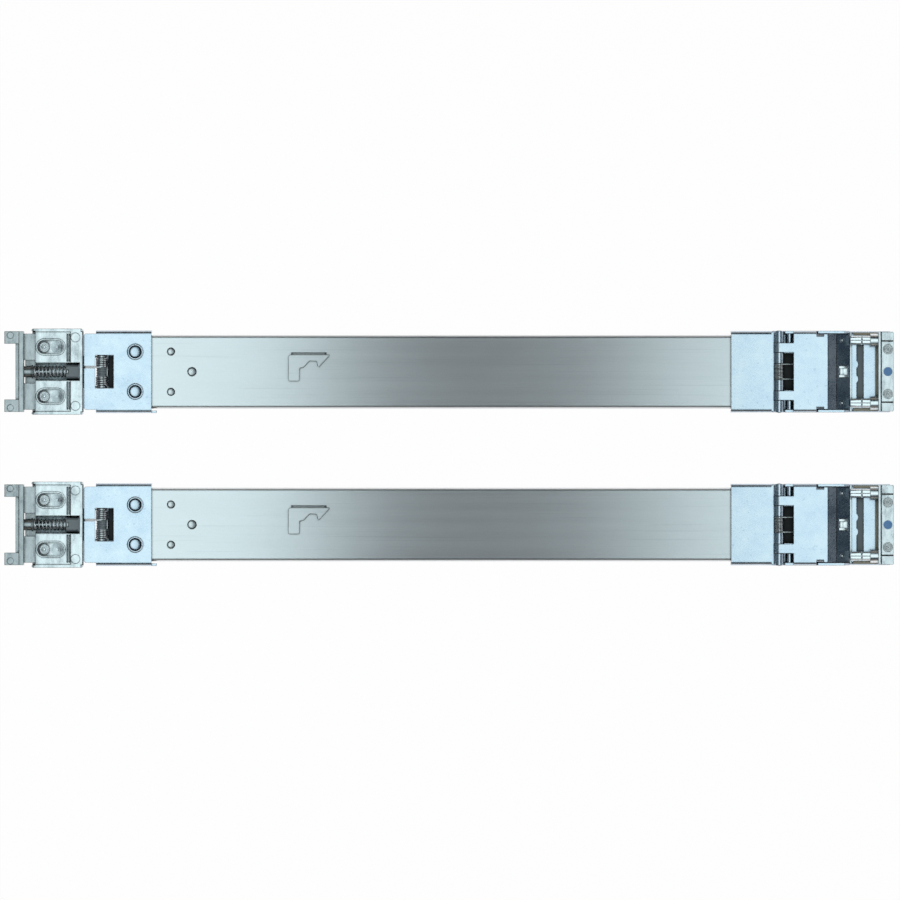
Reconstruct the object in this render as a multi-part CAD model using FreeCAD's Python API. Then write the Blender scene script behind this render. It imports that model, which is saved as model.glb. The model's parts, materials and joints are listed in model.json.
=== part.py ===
import FreeCAD, Part
import math
import os

from FreeCAD import Vector

# Pair of telescoping server rails, laid flat side by side.  Millimetres.
# +X is the front of the rack, +Z is outboard (away from the server), and each rail's height in the
# rack runs along Y.  The origin is the centre of the footprint, on the surface the pair lies on.

# ---------------------------------------------------------------- overall
half_length = 315.2          # end of the front ear and tip of the rear prongs
rail_spacing = 108.6         # between the centre lines of the two rails
hole_pitch = 44.45           # top and bottom holes of one rack unit
running_gap = 0.3            # between flat pieces that slide or swing past each other
bearing_gap = 0.05           # radial clearance of a pin in its eye

# ---------------------------------------------------------------- telescoping members
outer_half_height = 26.2
outer_flange_inset = 0.4     # face of the flange inside the crown of its ball groove
outer_wall = 1.5
middle_wall = 1.2
inner_wall = 1.2
ball_radius = 1.6
ball_gap = 0.06
groove_angle = math.radians(50.0)
flank_angle = math.radians(70.0)   # outer flank above its ball groove
groove_level_step = 3.9      # from the outer balls' height to the inner balls' height
flange_gap = 0.5             # between the flanks of the two inner members
outer_lip = 2.4
middle_lip = 2.9
middle_web_rise = 3.4        # inner balls' centre to the middle web
bend_radius = 2.0
tight_bend_radius = 1.4
knee_radius = 1.0
middle_window_count = 6
middle_window_radius = 6.0
middle_window_reach = 14.0   # from a window's centre to that of its round end

stop_room = 5.5              # rear end of the outer member to the closed members
middle_reach = 33.8          # closed intermediate member past the outer member's front end
inner_reach = 34.0           # closed inner member past the intermediate member's front end

# ---------------------------------------------------------------- ball cages
cage_length = 120.0
outer_cage_lag = 10.0        # outer cage behind the inner cage, when closed
cage_wall = 0.8
cage_web = 0.4
balls_per_strip = 3
pocket_gap = 0.06
pocket_mouth = 1.8           # opening that lets a ball snap into the inner cage
cage_spine = 0.75
comb_inset = 0.35            # inner comb inside its balls' centres
bridge_hole_radius = 8.0
bridge_hole_reach = 4.0

# ---------------------------------------------------------------- outer member details
small_hole_radius = 2.75
small_hole_setback = 36.6    # from the member's rear end, as the next two are
small_hole_y = 14.3
guide_setback = 51.5
guide_radius = 3.9
guide_rim = 0.7
guide_depth = 1.3
guide_floor = 0.9
hook_setback = 120.0
hook_y = 11.9
hook_proud = 1.0
hook_rim = 0.8
hook_slot_width = 1.7
hook_slot_ends = (2.0, 27.0)
hook_barb = ((0, 0), (29.5, 0), (21.3, -8.9), (20.2, -4.4), (15.0, -4.2), (10.5, -8.9),
             (7.8, -9.2), (7.8, -18.5), (0, -18.5))
hook_grow = ((-1, 1), (1, 1), (1, -1), (-1, -1), (0, -1), (0, -1), (1, -1), (1, -1), (-1, -1))
hook_radii = (2.0, 0.4, 0.4, 1.0, 1.0, 0.8, 0.6, 1.2, 1.2)

# ---------------------------------------------------------------- inner member details
slot_setbacks = (23.5, 188.5, 358.5, 450.5)
slot_entry_radius = 5.6
slot_half_width = 3.3
slot_drop = 9.0
slot_run = 9.0
slot_entry_y = 6.0
release_pivot_setback = 236.0  # from the member's front end, as the next one is
lock_pivot_setback = 34.0
lever_post_radius = 2.5
lever_wall = 2.2
lever_hub_radius = 5.0
lever_half_width = 4.0
lever_corner = 1.5
lever_tip = 6.0              # length of the hooked end
lever_rise = 3.5             # hook beyond the lever's edge
lever_taper = 10.0           # from the hub to where the lever narrows
lever_tab_length = 3.0
lever_tab_height = 4.6
lever_post_head = 1.4        # head of the post beyond its shank
lever_post_head_wall = 0.9
release_lever_length = 56.0
release_lever_tail = 8.0
lock_lever_length = 27.0
lock_lever_tail = 10.0

# ---------------------------------------------------------------- depth arm and rear bracket
arm_wall = 1.2
arm_half_width = 19.0
arm_travel = 237.0
arm_setback = 2.2            # from the bracket's rear end, as the next four are
pivot_setback = 12.5
bracket_neck = 8.6
window_setback = 8.0
outer_setback = 25.2
arm_engagement = 63.0        # arm still inside the outer member at full depth
arm_joggle_inset = 2.0       # joggle behind the outer member's rear end
arm_joggle_run = 4.5
arm_bend_radius = 1.2
bracket_wall = 1.7
bracket_length = 48.0
bracket_half_height = 29.3
bracket_neck_half_height = 27.0
bracket_lip_bottom = 1.6
bracket_corner = 1.6
bracket_ear_reach = 3.9      # slanting tabs of the flanges past the front edge
bracket_ear_foot = 1.2
bracket_ear_top = 3.5        # below the bracket's face
bracket_ear_bottom = 1.5     # above the lip's edge
bracket_ear_root = 8.0
leg_slit = 1.6               # slit in which the spring's leg lies
window_length = 13.1
window_half_height = 11.8
screw_hole_inset = 11.5
screw_hole_y = 14.1
screw_hole_radius = 4.6
screw_rim_radius = 5.8
screw_rim_height = 0.7

# ---------------------------------------------------------------- rear pivot
pivot_radius = 2.0
pivot_half_length = 14.8
pivot_chamfer = 0.5
pivot_spring_radius = 4.6
pivot_wire = 1.25
pivot_leg_wire = 0.55
pivot_spring_proud = 0.1     # spring above the bracket's face
lug_wall = 1.5
lug_radius = 3.6
saddle_wall = 1.4
strap_wall = 1.5
strap_bottom = 4.5
strap_eye_radius = 3.4

# ---------------------------------------------------------------- rear head, yoke and spring
head_gap = 0.8               # between head and bracket, so the head can swing
head_length = 33.5
head_wall_length = 36.1
head_floor_length = 41.2
head_half_height = 30.5
head_side_wall = 2.2
head_bottom = 3.5
head_floor = 4.5
head_top = 18.5
head_rim_rise = 1.0
head_rim_width = 8.4
head_corner = 1.2
head_web = 2.9
head_front_wall = 2.0        # behind the channel's end
tray_half_height = 26.0
tray_overlap = 4.0
tray_rib_y = (25.0, 22.4)    # at the tray's open end and at the web
tray_rib_wall = 1.5
tray_rib_height = 0.6
groove_setbacks = (2.8, 1.2) # from the rim's edge
groove_width = 1.0
groove_depth = 1.2
groove_inset = 1.5
boss_radius = 3.2
boss_inset = 5.0
boss_y = 24.3
boss_height = 0.4            # above the rim
wing_room_inset = 4.4        # from the head's front face
wing_room_margin = 0.8
channel_radius = 6.4
channel_z = 14.4
stud_reach = 14.6            # from the yoke's bar
stud_y = 17.5
stud_radius = 3.85
stud_proud = 0.3             # above the head's web
stud_ring = (2.9, 2.1)
stud_ring_depth = 0.5
stud_dimple_radius = 0.8
stud_slot_radius = 4.9
stud_slot_length = 9.2
stud_rim = 0.95
stud_rim_height = 0.6
dish_reach = 8.9             # from the stud to the dish beside it
dish_radius = 4.5
dish_depth = 0.9
dish_centre_radius = 0.6
yoke_travel = 8.0
prong_length = 7.8
yoke_bar = 5.6
yoke_bar_step = 0.8          # bar below the prongs' face
yoke_rebate = 2.4
yoke_rebate_depth = 1.0
yoke_gap = 0.6
yoke_half_height = 28.6
yoke_bottom = 9.0
prong_side = 8.8
prong_mark_radius = 2.3
prong_mark_inset = (4.2, 2.9)
prong_mark_height = 0.3
wing_wall = 2.4
wing_reach = 14.0            # past the stud
wing_inset = 1.6
wing_margin = 1.8            # from the channel to the wing
plunger_radius = 4.0
plunger_length = 6.4
plunger_flange_radius = 4.7
plunger_flange = 0.9
rod_radius = 1.5
rod_length = 12.4
latch_spring_radius = 3.7
latch_spring_wire = 0.62
latch_spring_turns = 7
spring_end_gap = 0.15
seat_length = 9.6
seat_radius = 5.4
seat_flange_radius = 6.1
seat_flange = 1.4
seat_recess = 1.6
seat_flat = 1.2              # top cut off below the full round

# ---------------------------------------------------------------- front bracket and gate
front_wall = 1.8
front_plate_length = 34.0    # rear edge to the hinge axis
front_half_height = 28.9
floor_wall = 1.6
front_flange_bottom = 0.8
outer_to_hinge = 6.0
barrel_radius = 3.55
hinge_pin_radius = 1.75
hinge_pin_proud = 0.4
hinge_pin_chamfer = 0.35
knuckle_outer = (20.4, front_half_height)
knuckle_gate = (13.6, 20.4)
knuckle_inner = (5.9, 13.6)
knuckle_gap = 0.15
gate_reach = 50.0            # hinge axis to the nose's end
gate_window_reach = 10.2     # hinge axis to the plate's solid part
gate_step_setback = 23.6     # from the nose's end, as the next two are
gate_bend_setback = 15.8
gate_crease_setback = 9.3
gate_wide = 28.6
gate_narrow = 26.6
gate_crease_drop = 3.1
gate_nose_drop = 6.1
gate_lip = 0.5               # edge of the gate above what it closes on
gate_foot = 0.9
nose_overlap = 2.5
wall_low_top = 17.4
wall_high_top = 19.6
wall_corner = 0.6
gate_wire = 1.0
gate_leg_reach = 5.0
gate_leg_drop = 1.7
floor_window = (2.8, 13.2)   # from the hinge axis
floor_window_half_height = 13.2
stop_bar_radius = 2.6
stop_bar_rise = 1.8
stop_bar_reach = 7.4         # from the hinge axis
lobe_radius = 3.3
lobe_y = 5.2
lobe_inset = 3.2             # from the nose's end, as the next two are
trough_start = 5.3
trough_end = 10.2
trough_half_height = 19.0
trough_depth = 0.7
button_length = 6.7
button_half_height = 4.2
button_gap = 0.25
button_prong = (1.5, 3.6)
button_prong_inset = (0.5, 0.8)
button_prong_rise = 1.1
button_corner = 0.4
gate_rivet_radius = 1.6
gate_rivet_setback = 5.4
gate_rivet_height = 0.7

# ---------------------------------------------------------------- front ear and post pins
ear_length = 10.8
post_gap = 20.2              # nose of the gate to the ear
ear_plate = 1.7
ear_corner = 0.8
ear_groove = 0.6
ear_groove_depth = 0.9
ear_half_height = 28.2
ear_top = 23.0
ear_wall = 2.0
ear_line_y = 21.7
ear_line = 0.7
ear_line_depth = 0.5
post_pin_z = 18.0
post_pin_length = 19.6
post_pin_radius = 3.2
post_pin_groove = 11.6       # from the ear, as the collar's start is
post_pin_groove_width = 0.9
post_pin_groove_depth = 0.35
post_pin_chamfer = (1.2, 0.8)
collar_length = 5.6
collar_step = 2.2
collar_small_radius = 4.0
collar_radius = 4.7
ear_rivet_inset = 4.1
ear_rivet_y = 15.875
ear_rivet_radius = 3.4
ear_rivet_height = 0.6
rivet_edge = 0.5
marker_radius = 3.1
marker_height = 0.3

# ---------------------------------------------------------------- worked out from the above
sin_groove = math.sin(groove_angle)
cos_groove = math.cos(groove_angle)
tan_groove = math.tan(groove_angle)
groove_lean = (flank_angle - groove_angle) / 2
groove_half_turn = (math.pi - flank_angle - groove_angle) / 2
race_radius = ball_radius + ball_gap
outer_race = race_radius + outer_wall / 2
middle_race = race_radius + middle_wall / 2
inner_race = race_radius + inner_wall / 2
outer_ball_y = outer_half_height - outer_wall - race_radius
outer_corner = outer_race / math.cos(groove_half_turn)
outer_corner_drop = outer_corner * math.sin(groove_lean)
outer_ball_z = outer_lip * sin_groove + outer_wall / 2 * cos_groove + outer_corner_drop
inner_ball_z = outer_ball_z + groove_level_step
inner_ball_y = outer_ball_y - 2 * middle_race / sin_groove + groove_level_step / tan_groove
middle_web_z = inner_ball_z + middle_web_rise
middle_top = middle_web_z + middle_wall / 2
arm_bottom = middle_top + running_gap
arm_top = arm_bottom + arm_wall
outer_web_bottom = arm_top + running_gap
outer_web_z = outer_web_bottom + outer_wall / 2
outer_top = outer_web_bottom + outer_wall
outer_flange_y = outer_half_height - outer_flange_inset - outer_wall / 2
inner_web_bottom = running_gap
inner_web_top = inner_web_bottom + inner_wall
inner_flange_y = outer_ball_y - race_radius - middle_wall - flange_gap - inner_wall / 2
yoke_bar_x = prong_length - half_length
yoke_front_x = yoke_bar_x + yoke_bar
stud_x = yoke_front_x + stud_reach
head_rear_x = yoke_front_x + yoke_gap
head_front_x = head_rear_x + head_floor_length
head_web_x = head_front_x - head_length
head_wall_x = head_front_x - head_wall_length
bracket_rear_x = head_front_x + head_gap
bracket_front_x = bracket_rear_x + bracket_length
bracket_lip_x = bracket_rear_x + bracket_neck
window_x0 = bracket_rear_x + window_setback
window_x1 = window_x0 + window_length
screw_hole_x = bracket_front_x - screw_hole_inset
pivot_x = bracket_rear_x + pivot_setback
arm_rear_x = bracket_rear_x + arm_setback
outer_rear_x = bracket_rear_x + outer_setback
small_hole_x = outer_rear_x + small_hole_setback
guide_x = outer_rear_x + guide_setback
hook_x = outer_rear_x + hook_setback
middle_rear_x = outer_rear_x + stop_room
inner_rear_x = outer_rear_x + stop_room
slot_stations = [inner_rear_x + setback for setback in slot_setbacks]
ear_rear_x = half_length - ear_length
ear_rivet_x = half_length - ear_rivet_inset
post_pin_tip_x = ear_rear_x - post_pin_length
post_pin_groove_x = ear_rear_x - post_pin_groove
collar_x = ear_rear_x - collar_length
gate_nose_x = ear_rear_x - post_gap
gate_step_x = gate_nose_x - gate_step_setback
gate_bend_x = gate_nose_x - gate_bend_setback
gate_crease_x = gate_nose_x - gate_crease_setback
hinge_x = gate_nose_x - gate_reach
gate_window_x = hinge_x + gate_window_reach
front_rear_x = hinge_x - front_plate_length
outer_front_x = hinge_x - outer_to_hinge
middle_front_x = outer_front_x + middle_reach
inner_front_x = middle_front_x + inner_reach
release_pivot_x = inner_front_x - release_pivot_setback
lock_pivot_x = inner_front_x - lock_pivot_setback
inner_cage_x = -cage_length / 2
outer_cage_x = inner_cage_x - outer_cage_lag
bracket_bottom = outer_top + running_gap
bracket_top = bracket_bottom + bracket_wall
pivot_z = bracket_top + pivot_spring_proud - pivot_spring_radius
saddle_top = pivot_z - pivot_spring_radius - running_gap
saddle_bottom = saddle_top - saddle_wall
seat_front_x = head_front_x - head_front_wall
seat_rear_x = seat_front_x - seat_length
wing_top = head_top - head_web - running_gap
floor_bottom = middle_top + running_gap
floor_top = floor_bottom + floor_wall
front_top = outer_top + front_wall
hinge_z = outer_top + barrel_radius
gate_top = hinge_z + barrel_radius
gate_z = gate_top - front_wall / 2
pin_y = hole_pitch / 2
leg_y = pivot_wire * 2.6
button_x = (gate_crease_x + gate_nose_x) / 2


# ---------------------------------------------------------------- drawing helpers
def box(x0, x1, y0, y1, z0, z1):
    """A block between two corners."""
    return Part.makeBox(x1 - x0, y1 - y0, z1 - z0, Vector(x0, y0, z0))


def rod(start, end, radius):
    """A round bar from one point to another."""
    direction = end - start
    return Part.makeCylinder(radius, direction.Length, start, direction)


def tube(start, end, radius, bore):
    """A round bar with a hole along it."""
    return rod(start, end, radius).cut(rod(start, end, bore))


def mirrored(shape):
    """The shape and its copy on the other side of the rail's centre line."""
    return shape.fuse(shape.mirror(Vector(0, 0, 0), Vector(0, 1, 0)))


def yz(x):
    """Places drawing points on a plane across the rail."""
    return lambda u, v: Vector(x, u, v)


def xz(y):
    """Places drawing points on a plane seen from the rail's edge."""
    return lambda u, v: Vector(u, y, v)


def xy(z):
    """Places drawing points on a plane parallel to the web."""
    return lambda u, v: Vector(u, v, z)


def unit(a, b):
    """Unit vector from point a to point b on the drawing."""
    length = math.hypot(b[0] - a[0], b[1] - a[1])
    return (b[0] - a[0]) / length, (b[1] - a[1]) / length


def corner_edges(points, radii, place):
    """Straight runs joined by tangent arcs; the first and last radius are unused."""
    edges = []
    at = points[0]
    for before, corner, after, radius in zip(points, points[1:], points[2:], radii[1:]):
        u = unit(before, corner)
        w = unit(corner, after)
        turn = math.atan2(u[0] * w[1] - u[1] * w[0], u[0] * w[0] + u[1] * w[1])
        if radius <= 0 or abs(turn) < 1e-6:
            start = corner
            end = corner
        else:
            setback = radius * math.tan(abs(turn) / 2)
            start = (corner[0] - u[0] * setback, corner[1] - u[1] * setback)
            end = (corner[0] + w[0] * setback, corner[1] + w[1] * setback)
        if math.hypot(start[0] - at[0], start[1] - at[1]) > 1e-6:
            edges.append(Part.makeLine(place(*at), place(*start)))
        if start != end:
            bulge = radius * (1 / math.cos(turn / 2) - 1)
            inward = unit((0, 0), (w[0] - u[0], w[1] - u[1]))
            middle = (corner[0] + inward[0] * bulge, corner[1] + inward[1] * bulge)
            edges.append(Part.Arc(place(*start), place(*middle), place(*end)).toShape())
        at = end
    edges.append(Part.makeLine(place(*at), place(*points[-1])))
    return edges


def shifted_path(points, radii, offset):
    """The path moved to its left by offset, with each bend's radius to match."""
    moved = []
    changed = []
    for i, point in enumerate(points):
        u = unit(points[i - 1], point) if i > 0 else unit(point, points[1])
        w = unit(point, points[i + 1]) if i < len(points) - 1 else u
        turn = math.atan2(u[0] * w[1] - u[1] * w[0], u[0] * w[0] + u[1] * w[1])
        across = unit((0, 0), (-u[1] - w[1], u[0] + w[0]))
        reach = offset / math.cos(turn / 2)
        moved.append((point[0] + across[0] * reach, point[1] + across[1] * reach))
        changed.append(radii[i] - offset * math.copysign(1, turn) if radii[i] > 0 else 0)
    return moved, changed


def sheet(points, radii, wall, place):
    """The section of a bent sheet, from its centre line and bend radii."""
    left = corner_edges(*shifted_path(points, radii, wall / 2), place)
    right = corner_edges(*shifted_path(points, radii, -wall / 2), place)
    ends = []
    for pick in (0, -1):
        a = left[pick].Vertexes[pick].Point
        b = right[pick].Vertexes[pick].Point
        ends.append(Part.makeLine(a, b))
    return Part.Face(Part.Wire(Part.__sortEdges__(left + right + ends)))


def outline(points, radii, place):
    """A closed flat shape whose corners have the given radii."""
    start = ((points[0][0] + points[-1][0]) / 2, (points[0][1] + points[-1][1]) / 2)
    ring = [start] + list(points) + [start]
    edges = corner_edges(ring, [0] + list(radii) + [0], place)
    return Part.Face(Part.Wire(Part.__sortEdges__(edges)))


def even(points, radius, place):
    """A closed flat shape with one radius for all its corners."""
    return outline(points, [radius] * len(points), place)


def obround(x0, x1, y, radius, z0, z1):
    """A slot-shaped bar, standing along Z."""
    bar = box(x0, x1, y - radius, y + radius, z0, z1)
    for x in (x0, x1):
        bar = bar.fuse(rod(Vector(x, y, z0), Vector(x, y, z1), radius))
    return bar.removeSplitter()


def round_edges(shape):
    """The circular edges of a turned piece."""
    return [edge for edge in shape.Edges if edge.Curve.TypeId == "Part::GeomCircle"]


def both_sides(half):
    """A section drawn for +Y, continued to its mirror image."""
    return [(-y, z) for y, z in reversed(half)] + list(half)


def coil_body(y0, y1, x, z, radius, wire):
    """Touching turns of wire around an axis along Y, as one ribbed sleeve."""
    turns = max(1, round((y1 - y0) / wire))
    pitch = (y1 - y0) / turns
    points = [Vector(x + radius - wire, y0, z)]
    for i in range(turns):
        points.append(Vector(x + radius - wire / 2, y0 + i * pitch, z))
        points.append(Vector(x + radius, y0 + (i + 0.5) * pitch, z))
    points.append(Vector(x + radius - wire / 2, y1, z))
    points.append(Vector(x + radius - wire, y1, z))
    face = Part.Face(Part.makePolygon(points + points[:1]))
    return face.revolve(Vector(x, 0, z), Vector(0, 1, 0), 360)


# ---------------------------------------------------------------- telescoping members
def hook_outline(grow, z):
    """The barbed hook of the outer member, grown by a margin."""
    points = []
    for (x, y), (grow_x, grow_y) in zip(hook_barb, hook_grow):
        points.append((hook_x + x + grow * grow_x, hook_y + y + grow * grow_y))
    return outline(points, hook_radii, xy(z))


def outer_member():
    """C-shaped cabinet member with ball grooves in its flanges."""
    apex = (outer_ball_y + outer_corner * math.cos(groove_lean), outer_ball_z - outer_corner_drop)
    knee = apex[1] + (apex[0] - outer_flange_y) * math.tan(flank_angle)
    lip = (apex[0] - outer_lip * cos_groove, apex[1] - outer_lip * sin_groove)
    half = [(outer_flange_y, outer_web_z), (outer_flange_y, knee), apex, lip]
    radii = [tight_bend_radius, knee_radius, outer_race, 0]
    face = sheet(both_sides(half), radii[::-1] + radii, outer_wall, yz(outer_rear_x))
    member = face.extrude(Vector(outer_front_x - outer_rear_x, 0, 0))
    below = outer_web_bottom - 1
    above = outer_top + hook_proud + 1
    for side in (-1, 1):
        y = side * small_hole_y
        member = member.cut(rod(Vector(small_hole_x, y, below), Vector(small_hole_x, y, above),
                                small_hole_radius))
    dimple = Vector(guide_x, 0, outer_web_bottom - guide_depth)
    button = rod(dimple, Vector(guide_x, 0, outer_top), guide_radius)
    recess = rod(dimple + Vector(0, 0, guide_floor), Vector(guide_x, 0, above),
                 guide_radius - guide_rim)
    member = member.fuse(button).cut(recess)
    hook = hook_outline(0, outer_web_z).extrude(Vector(0, 0, outer_top + hook_proud - outer_web_z))
    under = hook_outline(-hook_rim, below).extrude(Vector(0, 0, outer_top - below))
    slit = box(hook_x + hook_slot_ends[0], hook_x + hook_slot_ends[1],
               hook_y, hook_y + hook_slot_width, below, above)
    return member.fuse(hook).cut(under).cut(slit).removeSplitter()


def middle_member():
    """Intermediate member, with grooves for the outer and the inner balls."""
    low_apex = outer_ball_y - middle_race / sin_groove
    high_apex = inner_ball_y + middle_race / sin_groove
    web_corner = high_apex - middle_web_rise / tan_groove
    lip = (low_apex + middle_lip * cos_groove, outer_ball_z - middle_lip * sin_groove)
    half = [
        (web_corner, middle_web_z),
        (high_apex, inner_ball_z),
        (low_apex, outer_ball_z),
        lip,
    ]
    radii = [bend_radius, middle_race, middle_race, 0]
    face = sheet(both_sides(half), radii[::-1] + radii, middle_wall, yz(middle_rear_x))
    member = face.extrude(Vector(middle_front_x - middle_rear_x, 0, 0))
    pitch = (middle_front_x - middle_rear_x) / (middle_window_count + 1)
    for i in range(middle_window_count):
        x = middle_rear_x + (i + 1) * pitch
        member = member.cut(obround(x - middle_window_reach, x + middle_window_reach, 0,
                                    middle_window_radius, middle_web_z - 2, middle_web_z + 2))
    return member.cut(hinge_window(middle_web_z - 2, middle_web_z + 2))


def hinge_window(z0, z1):
    """Opening under the front hinge, through the floor and the member below it."""
    y = floor_window_half_height
    return box(hinge_x + floor_window[0], hinge_x + floor_window[1], -y, y, z0, z1)


def keyhole(x, z0, z1):
    """Entry, drop and run for a headed stud of the server's side."""
    y_low = slot_entry_y - slot_drop
    entry = rod(Vector(x, slot_entry_y, z0), Vector(x, slot_entry_y, z1), slot_entry_radius)
    drop = box(x - slot_half_width, x + slot_half_width, y_low, slot_entry_y, z0, z1)
    run = obround(x - slot_run, x, y_low, slot_half_width, z0, z1)
    return entry.fuse(drop).fuse(run)


def lever_post(x):
    """Fixed post on the inner member that a lever turns on."""
    head_low = inner_web_top + running_gap + lever_wall + running_gap
    head_top_z = head_low + lever_post_head_wall
    post = rod(Vector(x, 0, inner_web_bottom), Vector(x, 0, head_top_z), lever_post_radius)
    head = rod(Vector(x, 0, head_low), Vector(x, 0, head_top_z), lever_post_radius + lever_post_head)
    return post.fuse(head)


def inner_member():
    """Chassis member: keyhole slots take the studs on the server's side."""
    apex = inner_ball_y - inner_race / sin_groove
    reach = inner_race / tan_groove
    top = (apex + reach * cos_groove, inner_ball_z + reach * sin_groove)
    knee = inner_ball_z - (inner_flange_y - apex) * tan_groove
    web = inner_web_bottom + inner_wall / 2
    half = [(inner_flange_y, web), (inner_flange_y, knee), (apex, inner_ball_z), top]
    radii = [bend_radius, knee_radius, inner_race - 0.001, 0]
    face = sheet(both_sides(half), radii[::-1] + radii, inner_wall, yz(inner_rear_x))
    member = face.extrude(Vector(inner_front_x - inner_rear_x, 0, 0))
    for x in slot_stations:
        member = member.cut(keyhole(x, inner_web_bottom - 1, inner_web_top + 1))
    for x in (release_pivot_x, lock_pivot_x):
        member = member.fuse(lever_post(x))
    return member


def lever(pivot_x, length, tail):
    """Flat lever on a post, with a hooked free end and a finger tab."""
    bottom = inner_web_top + running_gap
    half = lever_half_width
    end = pivot_x - length
    points = [
        (pivot_x + tail, half),
        (end + lever_tip, half),
        (end, half + lever_rise),
        (end, -half + lever_corner),
        (pivot_x - lever_taper, -half),
        (pivot_x + tail, -half),
    ]
    plate = even(points, lever_corner, xy(bottom)).extrude(Vector(0, 0, lever_wall))
    start = Vector(pivot_x, 0, bottom)
    stop = Vector(pivot_x, 0, bottom + lever_wall)
    plate = plate.fuse(rod(start, stop, lever_hub_radius))
    tab = box(end, end + lever_tab_length, -half / 2, half + lever_rise / 2,
              bottom, bottom + lever_tab_height)
    return plate.fuse(tab).cut(rod(start, stop, lever_post_radius + bearing_gap)).removeSplitter()


# ---------------------------------------------------------------- ball cages
def ball_stations(start):
    """Centres of the balls along one strip."""
    pitch = cage_length / balls_per_strip
    return [start + (i + 0.5) * pitch for i in range(balls_per_strip)]


def pocket(x, y, z):
    """Round window of a cage, across its strip."""
    reach = Vector(0, cage_wall, 0)
    centre = Vector(x, y, z)
    return rod(centre - reach, centre + reach, ball_radius + pocket_gap)


def outer_cage():
    """Two comb strips, closed below the balls."""
    bottom = outer_ball_z - ball_radius - pocket_gap - cage_spine
    top = outer_ball_z + ball_radius - 0.1
    y = outer_ball_y
    strip = box(outer_cage_x, outer_cage_x + cage_length,
                y - cage_wall / 2, y + cage_wall / 2, bottom, top)
    for x in ball_stations(outer_cage_x):
        strip = strip.cut(pocket(x, y, outer_ball_z))
    return [strip, strip.mirror(Vector(0, 0, 0), Vector(0, 1, 0))]


def inner_cage():
    """Bridge under the middle web that carries a comb on each side."""
    web_top = middle_web_z - middle_wall / 2 - running_gap
    y = inner_ball_y - comb_inset
    bottom = inner_ball_z - ball_radius + running_gap
    x0 = inner_cage_x
    x1 = inner_cage_x + cage_length
    comb = box(x0, x1, y - cage_wall / 2, y + cage_wall / 4, bottom, web_top)
    for x in ball_stations(x0):
        comb = comb.cut(pocket(x, inner_ball_y, inner_ball_z))
        comb = comb.cut(box(x - pocket_mouth / 2, x + pocket_mouth / 2, y - 1, y + 1,
                            bottom - 1, inner_ball_z))
    bridge = box(x0, x1, -y, y, web_top - cage_web, web_top)
    for x in ball_stations(x0):
        bridge = bridge.cut(obround(x - bridge_hole_reach, x + bridge_hole_reach, 0,
                                    bridge_hole_radius, web_top - 1, web_top + 1))
    return mirrored(comb).fuse(bridge).removeSplitter()


def balls(start, y, z):
    """The balls of one cage, on both sides."""
    row = []
    for x in ball_stations(start):
        for side in (-1, 1):
            row.append(Part.makeSphere(ball_radius, Vector(x, side * y, z)))
    return row


def slide_stop():
    """Bumper at the rear of the outer member that the closed members rest against."""
    front = min(middle_rear_x, inner_rear_x) - running_gap
    rear = outer_rear_x + running_gap
    wide = outer_flange_y - outer_wall / 2
    low = box(rear, front, -inner_flange_y, inner_flange_y, inner_web_top, middle_top)
    high = box(rear, front, -wide, wide, inner_ball_z, middle_top)
    return low.fuse(high).removeSplitter()


# ---------------------------------------------------------------- rear bracket group
def extension_arm():
    """Depth arm: runs between the outer and the middle web, and carries the rear bracket."""
    joggle_x = outer_rear_x - arm_joggle_inset
    arm_front_x = outer_rear_x + arm_engagement + arm_travel
    high = bracket_bottom - arm_wall / 2
    low = arm_bottom + arm_wall / 2
    joggle_start = joggle_x - arm_joggle_run
    path = [(arm_rear_x, high), (joggle_start, high), (joggle_x, low), (arm_front_x, low)]
    face = sheet(path, [0, arm_bend_radius, arm_bend_radius, 0], arm_wall, xz(-arm_half_width))
    arm = face.extrude(Vector(0, 2 * arm_half_width, 0))
    room = pivot_half_length + 2 * running_gap
    window = box(arm_rear_x - 1, window_x1, -room, room, arm_bottom - 1, bracket_bottom + 1)
    slot = obround(guide_x, guide_x + arm_travel, 0, guide_radius + running_gap,
                   arm_bottom - 1, arm_top + 1)
    return arm.cut(window).cut(slot)


def pivot_lug(side):
    """Ear bent down from the bracket that holds one end of the rear pivot pin."""
    y0 = side * window_half_height
    y1 = side * (window_half_height + lug_wall)
    low, high = min(y0, y1), max(y0, y1)
    lug = box(pivot_x - lug_radius, pivot_x + lug_radius, low, high,
              saddle_bottom, bracket_bottom + bracket_wall / 2)
    hole = rod(Vector(pivot_x, low - 1, pivot_z), Vector(pivot_x, high + 1, pivot_z),
               pivot_radius + bearing_gap)
    return lug.cut(hole)


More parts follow.
